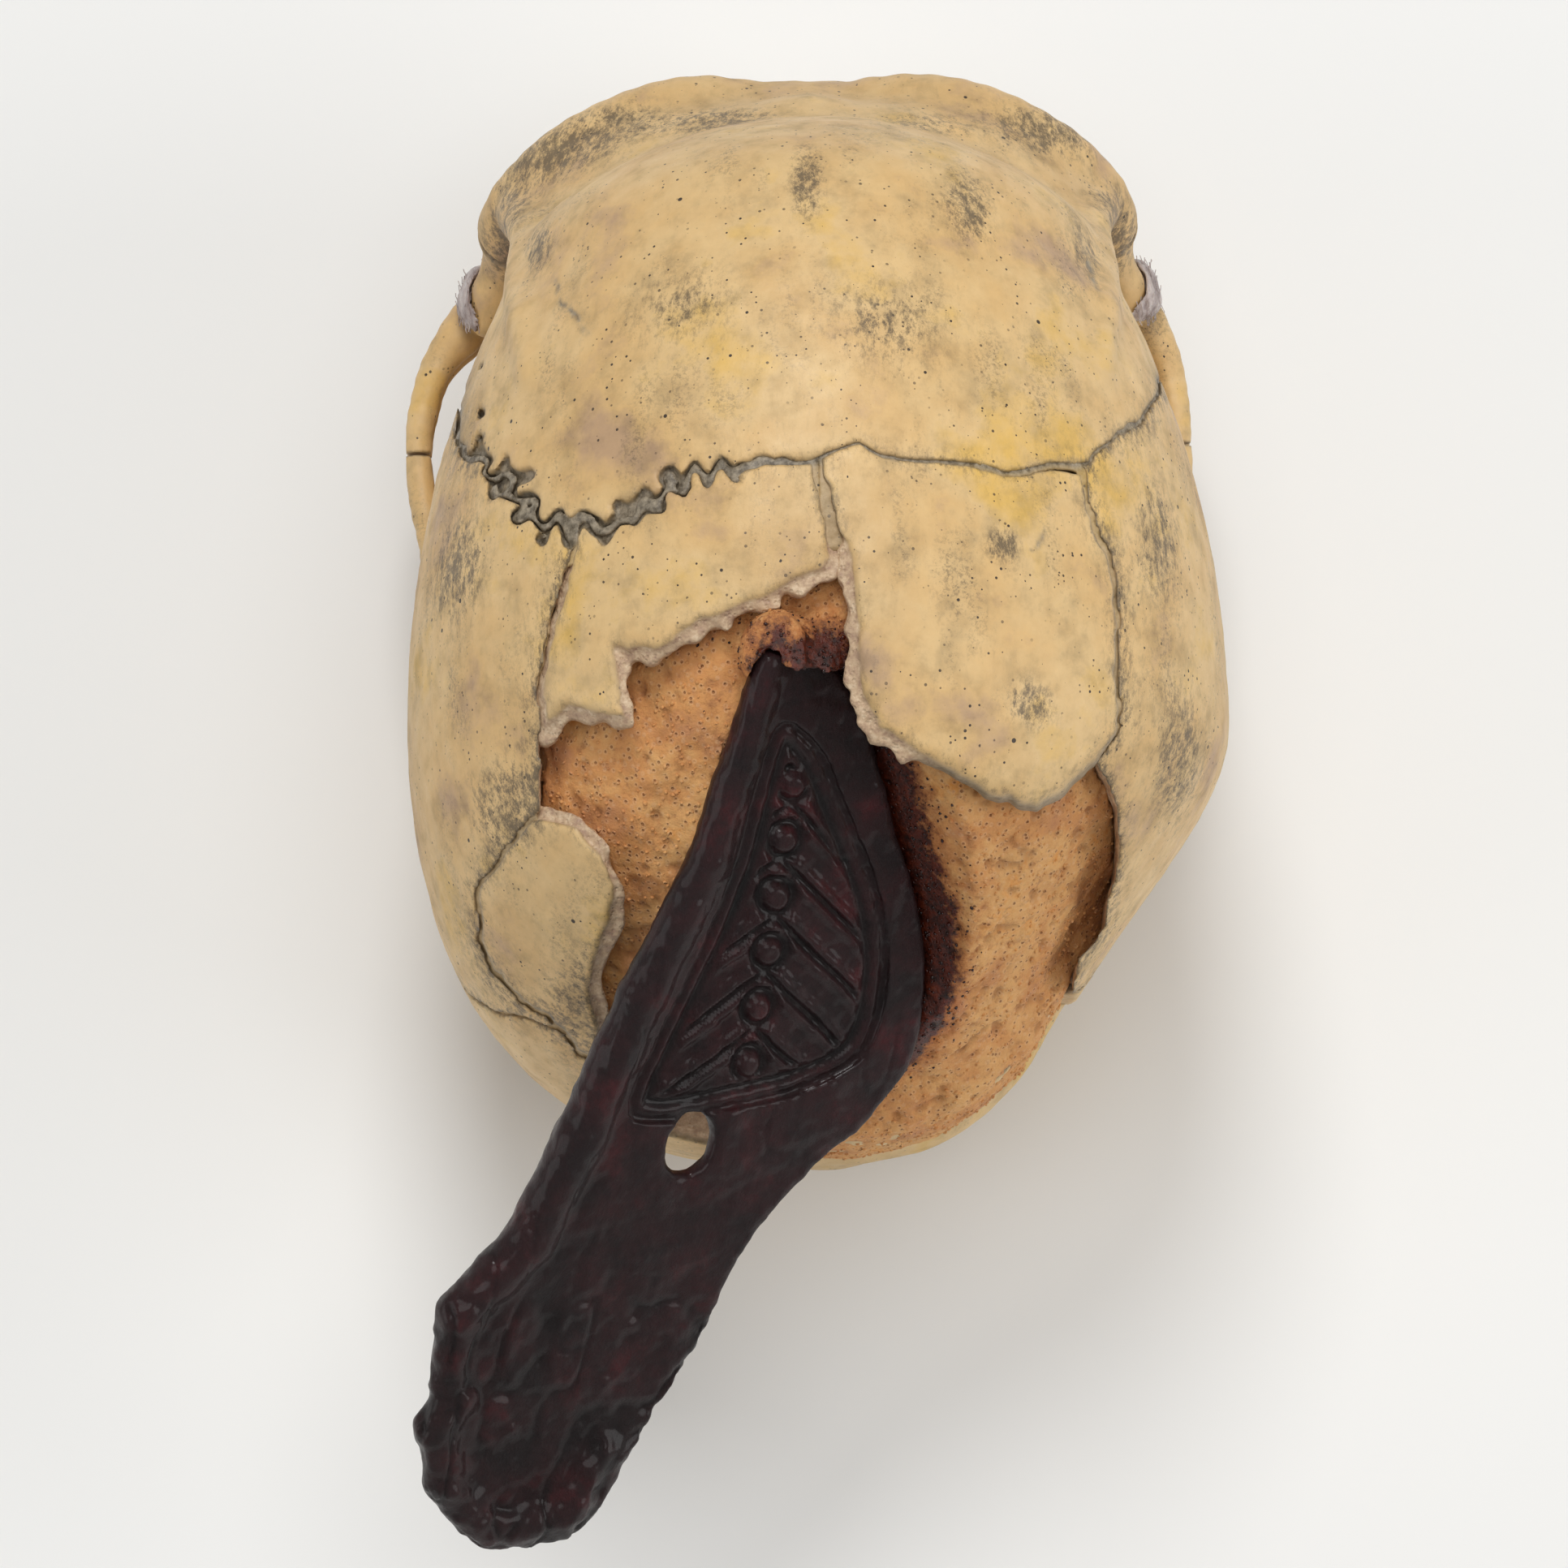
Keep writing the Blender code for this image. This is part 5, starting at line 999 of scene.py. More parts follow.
def buildTeeth():
    for name, width, depth, height, edge, spot, heading, top in toothPlaces():
        step = teeth["step"] * skull["grain"]
        axes = gridAxes((-width / 2 - 1, -depth / 2 - 1, -teeth["root"] - height - 1),
                        (width / 2 + 1, depth / 2 + 1, 1), step)
        x, y, z = np.meshgrid(*axes, indexing="ij", sparse=True)
        cusps = {"first_premolar": 2, "second_premolar": 2, "first_molar": 4, "second_molar": 4,
                 "third_molar": 4}.get(name, 0)
        field = toothField(x, y, z, width, depth, height, edge, cusps)
        points, faces = fieldPoints(field, axes, step)
        root = smoothStep(-teeth["root"] - 2.5, -teeth["root"] + 1.0, points[:, 2])
        angle = math.atan2(heading[1], heading[0])
        turn = Matrix.Translation((spot[0], spot[1], top)) @ Matrix.Rotation(angle, 4, "Z")
        for word, mirror in (("left", -1.0), ("right", 1.0)):
            flip = Matrix.Diagonal((mirror, 1.0, 1.0, 1.0))
            sided = faces if mirror > 0 else faces[:, ::-1]
            full = f"{word}_{name}"
            piece = solidFrom(full + "_crown", points, sided, {"root": root}, finishes["enamel"],
                              standing @ flip @ turn)
            standFor(piece, full)


def socketField(x, y, z, side):
    # Room for the roots of one side's teeth, and a little ridge between them
    best = np.full(np.broadcast(x, y, z).shape, 9.0)
    for _, width, depth, height, edge, spot, heading, top in toothPlaces():
        dx, dy = x * side - spot[0], y - spot[1]
        u = dx * heading[0] + dy * heading[1]
        v = -dx * heading[1] + dy * heading[0]
        best = np.minimum(best, toothField(u, v, z - top, width + 0.5, depth + 0.5, height, edge, 0))
    return best


buildTeeth()
print("teeth: 16 made")


# Bones


def grooveBy(distance, width):
    return np.exp(-(distance / width) ** 2)


# Dark grime lies on the brow, behind the eye sockets' outer posts and in spots on the vault: places and
# sizes in mm, seen from above, and how strong it is
grimeTall = 22.0
grime = (
    ((-44.0, 82.0, 32.0), (11.0, 5.0), 1.0), ((-33.0, 87.0, 32.0), (8.0, 4.0), 0.6),
    ((-15.0, 85.0, 42.0), (10.0, 3.0), 0.8), ((41.0, 85.0, 32.0), (10.0, 4.5), 0.9),
    ((20.0, 84.0, 42.0), (8.0, 3.0), 0.5), ((-51.0, 70.0, 18.0), (5.0, 6.0), 1.2),
    ((52.0, 70.0, 18.0), (5.0, 6.0), 1.2), ((-46.0, 60.0, 66.0), (2.2, 5.0), 0.9),
    ((-1.0, 66.0, 96.0), (2.5, 7.0), 0.8), ((26.0, 62.0, 92.0), (3.5, 6.0), 0.9),
    ((46.0, 56.0, 60.0), (3.0, 8.0), 0.7), ((-22.0, 44.0, 108.0), (9.0, 7.0), 0.45),
    ((12.0, 40.0, 112.0), (10.0, 8.0), 0.5), ((-60.0, 4.0, 80.0), (5.0, 9.0), 0.8),
    ((-52.0, -36.0, 90.0), (6.0, 6.0), 0.7), ((30.0, 2.0, 118.0), (2.5, 2.5), 1.1),
    ((34.0, -24.0, 113.0), (3.5, 3.5), 0.8), ((57.0, 6.0, 92.0), (4.0, 10.0), 0.7),
    ((60.0, -30.0, 80.0), (5.0, 12.0), 0.6), ((-38.0, -68.0, 72.0), (8.0, 8.0), 0.6),
)


def grimeAt(points):
    total = 0.0
    for (x, y, z), (wide, long), strength in grime:
        total = total + strength * np.exp(-((points[:, 0] - x) / wide)**2 - ((points[:, 1] - y) / long)**2
                                          - ((points[:, 2] - z) / grimeTall)**2)
    return total


# The filling lines the hollow and wells up in the window, and runs over the rim at its lower right.
# It stands here because the rim of the occipital bone is worn back under it
core = {
    "depth": 24.0, "rise": 5.0, "front": 0.240, "level": 0.200, "margin": -0.8, "folds": (0.9, 0.5),
    "rimOver": (-8.0, 0.0), "rimLevel": (56.0, 47.0), "rimInset": 2.4, "rimDrop": 24.0,
    "rimChipped": (10.0, 18.0),
    "mounds": (((-0.030, -0.210, 0.950), (7.5, 9.5, 5.0)), ((-0.110, -0.165, 0.985), (6.0, 7.5, 5.6))),
    "moundStain": 7.0, "bladeStain": 5.5, "bladeGap": 0.35,
    "step": 1.0, "topStep": 0.7,
    "liningBox": ((-66, -92, 22), (66, 26, 119)), "topBox": ((-50, -96, 18), (54, 10, 121)),
}

# The left half of the coronal suture gapes, and the plates' inner layer sticks out past the outer one
worn = {
    "open": ((-61.0, 0.0), (-58.5, 0.4), (-56.0, 1.8), (-50.0, 2.1), (-24.0, 1.7), (-14.0, 0.9),
             (-2.0, 0.5), (3.0, 0.0)),
    "openDepth": 1.5, "ledge": 2.8, "ledgeTop": 1.2, "ledgeTo": (20.0, 12.0), "rounded": (0.3, 2.2),
    "nearWindow": (3.0, 0.5),
    "seamWidth": 0.28, "scratchWidth": 0.4, "smearWidth": 2.2, "smear": 0.35, "parietalSmear": 0.7,
}


def openSuture(x, y):
    # How far inside the gaping suture a place is, in mm
    line = coronalLine(x, y)
    spots, widths = zip(*worn["open"])
    wide = np.interp(x, spots, widths) * (1 + 0.75 * noiseAt(x, y, 0.0, 2.1, 21))
    return wide - np.abs(line + 0.3)


gapingBones = ("frontal_bone", "left_parietal_bone", "left_vault_plate")

# The broken plates lie a little loose: turn in degrees round the hinge, lift in mm, and how much smaller
loose = {
    "hinge": (0.0, 0.160, 0.930), "fit": 0.990,
    "right_vault_plate": (-4.5, 0.0), "left_vault_plate": (-2.5, 0.0), "lambda_fragment": (0.0, 0.6),
}


def buildBone(name, spec):
    # The head's field cut down to one bone's region, then its surface roughened and marked
    region, others, side, low, high, step = spec
    step = step * skull["grain"]
    axes = gridAxes(low, high, step)
    x, y, z = np.meshgrid(*axes, indexing="ij", sparse=True)
    head = headField(axes, step)
    limits = np.maximum(regionOf(region, x, y, z), -99.0)
    gap = seams["gap"]
    limits = np.broadcast_to(limits, head.shape) + gap
    for other in others:
        apart = 0.0 if other == "window" else gap
        limits = np.maximum(limits, apart - regionOf(other, x, y, z))
    if side:
        limits = np.maximum(limits, gap - side * x)
    if "maxilla" in name:
        head = smoothMax(head, -socketField(x, y, z, side), 0.5)
    if name in gapingBones:
        inside = openSuture(x, y)
        head = smoothMax(head, np.minimum(inside, head + worn["openDepth"]), 0.4).astype(np.float32)
    if name == "occipital_bone":
        footprint = fromAbove(x, y, "window", seams["breakWander"], 4)
        chipped = smoothStep(*core["rimOver"], x) * smoothStep(1.0, -1.5, footprint)
        head = head + core["rimInset"] * chipped * smoothStep(*core["rimChipped"], z)
    if name in loose:
        window = fromAbove(x, y, "window", seams["breakWander"], 4)
        ragged = 0.6 + 0.5 * noiseAt(x, y, 0.0, 3.0, 22)
        if name == "right_vault_plate":
            ragged = ragged * smoothStep(*worn["ledgeTo"], x)
        ledge = smoothStep(worn["ledgeTop"], worn["ledgeTop"] + 0.8, -head)
        limits = limits - worn["ledge"] * ledge * ragged * smoothStep(*worn["nearWindow"], window)
    limits = limits.astype(np.float32)
    if name in loose:
        thin, thick = worn["rounded"]
        solid = smoothMax(head, limits, thin + (thick - thin) * smoothStep(*worn["nearWindow"], window))
    else:
        solid = np.maximum(head, limits)
    points, faces = fieldPoints(solid, axes, step)
    normals = pointNormals(points, faces)
    depth = sampled(head, axes, step, points)
    toEdge = sampled(limits, axes, step, points)
    # How shut in each place is, read from the field a little way out along its normal: painted as shade and
    # grime in the bone's recesses
    open3 = sampled(head, axes, step, points + normals * 2.6)
    open7 = sampled(head, axes, step, points + normals * 6.0)
    occlusionShade = np.clip(1 - open3 / 2.6, 0, 1) * 0.6 + np.clip(1 - open7 / 6.0, 0, 1) * 0.5
    raw = smoothStep(0.35, 1.1, -depth)
    if name == "right_vault_plate":
        raw = raw * (1 - 0.8 * smoothStep(*worn["ledgeTo"][::-1], points[:, 0]))
    seam = grooveBy(toEdge, worn["seamWidth"]) * (1 - raw) * 0.6
    p = points.T
    if name in gapingBones:
        gaping = smoothStep(-0.3, 0.4, openSuture(p[0], p[1])) * (p[2] > 30)
        seam = np.maximum(seam, gaping * 0.9)
    scratch = grooveBy(scratchGap(points), worn["scratchWidth"]) * (1 - raw)
    seam = np.maximum(seam, scratch * np.clip(0.5 + noiseAt(*p, 1.5, 45), 0, 1))
    rough = 0.16 * noiseAt(*p, 6.0, 3) + 0.09 * noiseAt(*p, 2.4, 5)
    rough = rough * (1 - raw) + raw * (0.28 * noiseAt(*p, 1.6, 8) - 0.15) - 0.18 * seam
    points = points + normals * rough[:, None] * smoothStep(0.0, 0.6, -toEdge + raw)[:, None]
    strong = worn["parietalSmear" if "parietal" in name else "smear"]
    smear = strong * np.exp(-np.maximum(-toEdge, 0) / worn["smearWidth"]) * (1 - raw) * (p[2] > 30)
    marks = {"occlusionShade": occlusionShade, "seam": seam, "raw": raw, "grime": grimeAt(points) + smear}
    return points, faces, marks


grout = {"high": 0.6, "low": 2.6, "reach": 1.1, "step": 0.55, "above": 20.0,
         "side": 72, "back": -90, "front": 60, "top": 123}


def buildGrout():
    # The seams and cracks were filled with grey putty that has sunk a little
    step = grout["step"] * skull["grain"]
    for word, side in (("left", -1), ("right", 1)):
        edge = side * grout["side"]
        axes = gridAxes((min(0, edge), grout["back"], grout["above"]),
                        (max(0, edge), grout["front"], grout["top"]), step)
        x, y, z = np.meshgrid(*axes, indexing="ij", sparse=True)
        vault = vaultField(x, y, z, step)
        lines = np.abs(coronalLine(x, y))
        for part in ("rightPlate", "leftPlate", "fragment"):
            line = np.abs(fromAbove(x, y, part, seams["breakWander"], 4))
            lines = np.minimum(lines, line)
        squama = np.maximum(np.abs(fromSide(y, z, "squama", seams["sideWander"], 3)), 36.0 - np.abs(x))
        lambdoid = np.maximum(np.abs(fromSide(y, z, "lambdoid", seams["sideWander"], 6)), y + 10.0)
        lines = np.minimum(np.minimum(lines, squama), lambdoid) - grout["reach"]
        window = fromAbove(x, y, "window", seams["breakWander"], 4)
        shell = np.maximum(vault + grout["high"] + 0.3 * noiseAt(x, y, z, 2.0, 41), -vault - grout["low"])
        solid = np.maximum(np.maximum(shell, lines), np.maximum(0.8 - window, grout["above"] + 1 - z))
        points, faces = fieldPoints(solid.astype(np.float32), axes, step, largest=False)
        zero = np.zeros(len(points))
        gaping = smoothStep(-1.5, 0.0, openSuture(points[:, 0], points[:, 1]))
        marks = {"occlusionShade": zero, "seam": 0.45 + 0.5 * gaping, "raw": zero, "grime": zero}
        piece = solidFrom(f"{word}_seam_putty", points, faces, marks, finishes["bone"])
        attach(piece, "root")
        print(f"putty: {word}, {len(faces) * 2} triangles")


scratches = (
    ((-43.5, 52.5), (-42.5, 48.0), (-39.5, 44.5), (-38.0, 41.0)),
    ((46.5, 56.0), (47.5, 52.0), (48.0, 49.0)),
    ((37.0, 5.0), (35.0, 2.0)), ((-45.0, -28.0), (-43.5, -31.0), (-46.0, -33.5)),
)


def scratchGap(points):
    # Distance from the short dark cracks, seen from above
    x, y = points[:, 0], points[:, 1]
    x, y = wobbled(x, y, ((2.0, 0.5), (0.9, 0.25)), 44)
    best = np.full(len(points), 99.0)
    for line in scratches:
        for a, b in zip(line, line[1:]):
            du, dv = b[0] - a[0], b[1] - a[1]
            h = np.clip(((x - a[0]) * du + (y - a[1]) * dv) / (du * du + dv * dv), 0, 1)
            best = np.minimum(best, np.hypot(x - a[0] - h * du, y - a[1] - h * dv))
    return np.where(points[:, 2] > 40, best, 99.0)


def tipped(points, angle, lift):
    hinge = place(loose["hinge"])
    centre = points.mean(axis=0)
    points = (points - centre) * np.array((loose["fit"], loose["fit"], 1.0)) + centre
    turn = np.array(Matrix.Rotation(math.radians(angle), 3, "X"))
    return (points - hinge) @ turn.T + hinge + np.array((0, 0, lift))


total = 0
for name, spec in bones.items():
    points, faces, marks = buildBone(name, spec)
    if name in loose:
        points = tipped(points, *loose[name])
    piece = solidFrom(name + "_cast", points, faces, marks, finishes["bone"])
    standFor(piece, name)
    total += len(faces) * 2
    print(f"bone: {name}, {len(faces) * 2} triangles")
print(f"bones: {total} triangles")
buildGrout()


# The blade: u across it, v up to its buried tip, w out of its carved face
bladeTurn = (Matrix.Translation(Vector(place(blade["tip"])))
             @ Matrix.Rotation(math.radians(blade["turn"]), 4, "Z")
             @ Matrix.Rotation(math.radians(blade["slope"]), 4, "X")
             @ Matrix.Rotation(math.radians(blade["tilt"]), 4, "Y"))


def bladeSpots(shares):
    return [(a * blade["reach"], -b * blade["length"]) for a, b in shares]


def rounded(points, steps=4):
    # A smooth closed line through the outline's points
    made = []
    count = len(points)
    for i in range(count):
        p0, p1, p2, p3 = (np.array(points[(i + k) % count]) for k in (-1, 0, 1, 2))
        made += [tuple(splinePoint(p0, p1, p2, p3, k / steps)) for k in range(steps)]
    return made


def bladeRim(u, v, w):
    edge = [np.array((a + blade["rim"] / 2, b, 0.0))
            for a, b in bladeSpots(blade["outline"][:blade["rimCount"]])]
    return chainField(u, v, w, edge, [blade["rim"] * s for s in blade["rimShares"]])


def bladeField(u, v, w):
    flat = outlineField(u, v, rounded(bladeSpots(blade["outline"])))
    half = blade["half"]
    plate = smoothMax(flat + 0.2, np.abs(w) - half, 1.4)
    field = smoothMax(smoothMin(plate, bladeRim(u, v, w), 1.6), v + blade["cutTip"], 0.8)
    lobe = [np.array((a, b)) for a, b in bladeSpots(blade["outline"][slice(*blade["lobe"])])]
    centre = sum(lobe) / len(lobe)
    pulled = [np.append(p + (centre - p) * 0.2, 0.0) for p in lobe]
    knob = chainField(u, v, w, pulled, [blade["rim"] * 0.85] * len(pulled))
    field = smoothMin(field, knob, 2.0)
    (hu, hv), = bladeSpots([blade["hole"][:2]])
    wide, long = blade["hole"][2:]
    hole = (np.sqrt(((u - hu) / wide)**2 + ((v - hv) / long)**2) - 1) * wide
    field = smoothMax(field, -hole, 1.6)
    panel = outlineField(u, v, rounded(bladeSpots(blade["panel"])))
    floor = blade["half"] - blade["panelDepth"]
    sunk = smoothMax(panel, floor - w, 0.5)
    return smoothMax(field, -sunk, 0.5), panel


def carving(u, v, panel):
    # Plain tooled ornament: a double border line, then rows of chevrons with a dot between them
    line = 0.45 * np.exp(-((panel + 2.0) / 0.7) ** 2) - 0.6 * np.exp(-((panel + 3.6) / 0.7) ** 2)
    inner = smoothStep(-4.6, -5.6, panel)
    u, v = u + 0.9 * noiseAt(u, v, 0.0, 11.0, 33), v + 0.9 * noiseAt(u, v, 0.0, 11.0, 34)
    across = u - 14.0 + (v + 50.0) * 0.10
    row = (v + np.abs(across) * 0.8) / 10.0
    wave = np.abs(row - np.floor(row) - 0.5) * 2
    chevron = 0.7 * smoothStep(0.25, 0.6, wave) - 1.1 * smoothStep(0.72, 0.92, wave)
    cell = v / 10.0
    near = np.sqrt(across**2 + ((cell - np.floor(cell) - 0.35) * 10.0)**2)
    dot = 1.1 * smoothStep(2.6, 1.3, near) - 0.7 * np.exp(-((near - 3.1) / 0.6)**2)
    return line + inner * np.where(near < 4.2, dot, chevron)


def buildBlade():
    step = blade["step"] * skull["grain"]
    axes = gridAxes(blade["low"], blade["high"], step)
    u, v, w = np.meshgrid(*axes, indexing="ij", sparse=True)
    field, panel = bladeField(u, v, w)
    field = np.broadcast_to(field, (len(axes[0]), len(axes[1]), len(axes[2]))).astype(np.float32)
    points, faces = fieldPoints(field, axes, step)
    normals = pointNormals(points, faces)
    panelAt = sampled(np.broadcast_to(panel, field.shape).astype(np.float32), axes, step, points)
    relief = carving(points[:, 0], points[:, 1], panelAt)
    faceUp = smoothStep(0.6, 0.9, normals[:, 2]) * smoothStep(0.3, -0.6, panelAt)
    p = points.T
    lobe = smoothStep(-112, -128, points[:, 1])
    rough = 0.30 * noiseAt(*p, 6.0, 4) + (0.14 + 0.3 * lobe) * noiseAt(*p, 2.2, 6) - 0.25 * lobe
    rough = rough + 0.10 * noiseAt(*p, 1.2, 7)
    wrinkles = np.abs(noiseAt(p[0], p[1] * 0.4, p[2], 5.5, 51))
    creased = smoothStep(0.16, 0.0, wrinkles) * (0.35 + 0.65 * lobe)
    rough = rough - 0.45 * creased * smoothStep(0.1, 0.5, normals[:, 2])
    points = points + normals * (rough + relief * faceUp)[:, None]
    # How shut in, grooved or creased each place is: the horn's finish paints it as shade
    open3 = sampled(field, axes, step, points + normals * 2.0)
    occlusionShade = np.clip(1 - open3 / 2.0, 0, 1) + np.clip(-relief * faceUp * 2.0, 0, 0.6) + 0.4 * creased
    piece = solidFrom("carved_blade_horn", points, faces, {"occlusionShade": occlusionShade}, finishes["horn"],
                      standing @ bladeTurn)
    standFor(piece, "carved_blade")
    print(f"blade: {len(faces) * 2} triangles")


def bladeGapField(axes):
    # The blade's own field on the skull's grid, the room above it, and how far across it a place is
    x, y, z = np.meshgrid(*axes, indexing="ij", sparse=True)
    back = np.array(bladeTurn.inverted())
    u, v, w = (back[i, 0] * x + back[i, 1] * y + back[i, 2] * z + back[i, 3] for i in range(3))
    flat = outlineField(u, v, bladeSpots(blade["outline"]))
    plate = np.maximum(flat, np.abs(w) - blade["half"])
    above = np.maximum(flat - 0.8 - 0.5 * np.maximum(w, 0.0), -w)
    above = smoothMax(above, v + blade["buried"] + 1.2 * noiseAt(u, v, w, 4.0, 52), 1.5)
    return np.maximum(np.minimum(plate, bladeRim(u, v, w)), v + blade["cutTip"]), above, u


def coreSolid(low, high, step, top):
    axes = gridAxes(low, high, step)
    x, y, z = np.meshgrid(*axes, indexing="ij", sparse=True)
    vault = vaultField(x, y, z, step)
    window = fromAbove(x, y, "window", seams["breakWander"], 4)
    broad, fine = core["folds"]
    folds = broad * noiseAt(x, y, z, 11.0, 35) + fine * noiseAt(x, y, z, 5.0, 36)
    over, level, inset = core["rimOver"], core["rimLevel"], core["rimInset"]
    rim = smoothStep(*over, x) * smoothStep(*level, z)
    rise = core["rise"] + folds + (inset - 0.6 - core["rise"] - 0.6 * folds) * rim
    raised = smoothMax(vault + rise, window + core["margin"], 1.5)
    floor = seams["windowLevel"] + core["margin"] - core["rimDrop"] * smoothStep(*over, x)
    raised = np.maximum(raised, floor + 1.5 * noiseAt(x, y, 0.0, 6.0, 37) - z)
    for centre, size in core["mounds"]:
        raised = smoothMin(raised, ballField(x, y, z, place(centre), size), 3.0)
    lining = vault + skull["wall"] + 0.6
    solid = smoothMin(lining, raised, 0.8)
    room = vault + skull["wall"] + core["depth"]
    solid = np.maximum(np.maximum(solid, -room), np.maximum(y - core["front"] * measure[1],
                                                            core["level"] * measure[2] - z))
    gap, above, across = bladeGapField(axes)
    solid = smoothMax(np.maximum(solid, core["bladeGap"] - gap), -above, 1.0)
    if not top:
        points, faces = fieldPoints(np.maximum(solid, vault + core["rise"] + 2.0), axes, step)
    else:
        points, faces = fieldPoints(np.maximum(np.maximum(solid, window - 1.5), -vault - 16.0), axes, step)
    normals = pointNormals(points, faces)
    toBlade = np.maximum(sampled(gap.astype(np.float32), axes, step, points), 0.0)
    stain = grooveBy(toBlade, core["bladeStain"])
    stain = stain * smoothStep(-1.0, 5.0, sampled(across.astype(np.float32), axes, step, points))
    around = np.linalg.norm(points - place(core["mounds"][1][0]), axis=1)
    stain = np.maximum(stain, 0.9 * grooveBy(around, core["moundStain"]))
    p = points.T
    crumb = 0.55 * noiseAt(*p, 5.0, 9) + 0.35 * noiseAt(*p, 2.2, 10) + 0.2 * noiseAt(*p, 1.2, 12)
    pore = smoothStep(0.35, 0.75, noiseAt(*p, 1.9, 14)) * 0.9
    shown = smoothStep(-9.0, -7.0, sampled(vault, axes, step, points))
    shift = (0.7 * crumb - 0.6 * pore - 0.3) * (0.25 + 0.75 * shown)
    points = points + normals * shift[:, None]
    # Sunken pores and low crumbs are marked for the filling's painted shade
    occlusionShade = np.clip(pore * 0.9 - crumb * 0.5, 0, 1)
    shown = shown * smoothStep(0.5, -1.0, sampled(np.broadcast_to(window, solid.shape), axes, step, points))
    return points, faces, {"occlusionShade": occlusionShade, "stain": stain, "shown": shown * (1 - stain)}


def buildCore():
    grain = skull["grain"]
    for name, step, box, top in (
            ("filler_core_lining", core["step"] * grain, core["liningBox"], False),
            ("filler_core_top", core["topStep"] * grain, core["topBox"], True)):
        points, faces, marks = coreSolid(*box, step, top)
        piece = solidFrom(name, points, faces, marks, finishes["filling"])
        standFor(piece, "filler_core")
        print(f"core: {name}, {len(faces) * 2} triangles")
        if top:
            for kind, mark, finish in (("crumbs", "shown", "filling"), ("beads", "stain", "resin")):
                tree = scatterTree(f"filling_{kind}", mark, finishes[finish])
                grow(f"filling_{kind}", tree, points, faces, marks, scatter[kind])


# What repeats is grown by geometry nodes: crumbs on the filling, beads of resin in its stain and fibres
# in the glue. Lengths in mm, counts per square mm
scatter = {
    "crumbs": {"Density": 0.20, "Small": 0.15, "Large": 0.50, "Seed": 3},
    "beads": {"Density": 0.50, "Small": 0.12, "Large": 0.40, "Seed": 5},
    "fibres": {"Density": 0.25, "Length": 2.8, "Thick": 0.08, "Seed": 7},
}


def startGeometry(name, inputs):
    tree = bpy.data.node_groups.new(name, "GeometryNodeTree")
    tree.interface.new_socket(name="Geometry", in_out="INPUT", socket_type="NodeSocketGeometry")
    for label, kind in inputs:
        tree.interface.new_socket(name=label, in_out="INPUT", socket_type=kind)
    tree.interface.new_socket(name="Geometry", in_out="OUTPUT", socket_type="NodeSocketGeometry")
    return tree, addNode(tree, "NodeGroupInput").outputs, addNode(tree, "NodeGroupOutput")


def endGeometry(tree, output, instances, material):
    real = addNode(tree, "GeometryNodeRealizeInstances", {}, {"Geometry": instances}).outputs[0]
    smooth = addNode(tree, "GeometryNodeSetShadeSmooth", {}, {"Geometry": real}).outputs[0]
    made = addNode(tree, "GeometryNodeSetMaterial", {"Material": material}, {"Geometry": smooth}).outputs[0]
    tree.links.new(made, output.inputs[0])


def scatterTree(name, attribute, material):
    # Small rough balls, thick where the attribute is high
    tree, given, output = startGeometry(name, (("Density", "NodeSocketFloat"), ("Small", "NodeSocketFloat"),
                                               ("Large", "NodeSocketFloat"), ("Seed", "NodeSocketInt")))
    share = addNode(tree, "GeometryNodeInputNamedAttribute", {"data_type": "FLOAT", "Name": attribute})
    thick = maths(tree, "MULTIPLY", share.outputs[0], given["Density"])
    points = addNode(tree, "GeometryNodeDistributePointsOnFaces", {},
                     {"Mesh": given["Geometry"], "Density": thick, "Seed": given["Seed"]})
    size = addNode(tree, "FunctionNodeRandomValue", {"data_type": "FLOAT"},
                   {"2": given["Small"], "3": given["Large"], "Seed": given["Seed"]}).outputs[1]
    squash = addNode(tree, "FunctionNodeRandomValue",
                     {"data_type": "FLOAT_VECTOR", 0: (0.7, 0.7, 0.5), 1: (1.3, 1.3, 1.0)},
                     {"Seed": given["Seed"]}).outputs[0]
    scale = addNode(tree, "ShaderNodeVectorMath", {"operation": "SCALE"},
                    {"0": squash, "Scale": size}).outputs[0]
    turn = addNode(tree, "FunctionNodeRandomValue",
                   {"data_type": "FLOAT_VECTOR", 0: (0.0, 0.0, 0.0), 1: (6.28, 6.28, 6.28)},
                   {"Seed": given["Seed"]}).outputs[0]
    ball = addNode(tree, "GeometryNodeMeshIcoSphere", {"Radius": 1.0, "Subdivisions": 1}).outputs[0]
    placed = addNode(tree, "GeometryNodeInstanceOnPoints", {},
                     {"Points": points.outputs[0], "Instance": ball, "Rotation": turn, "Scale": scale})
    endGeometry(tree, output, placed.outputs[0], material)
    return tree


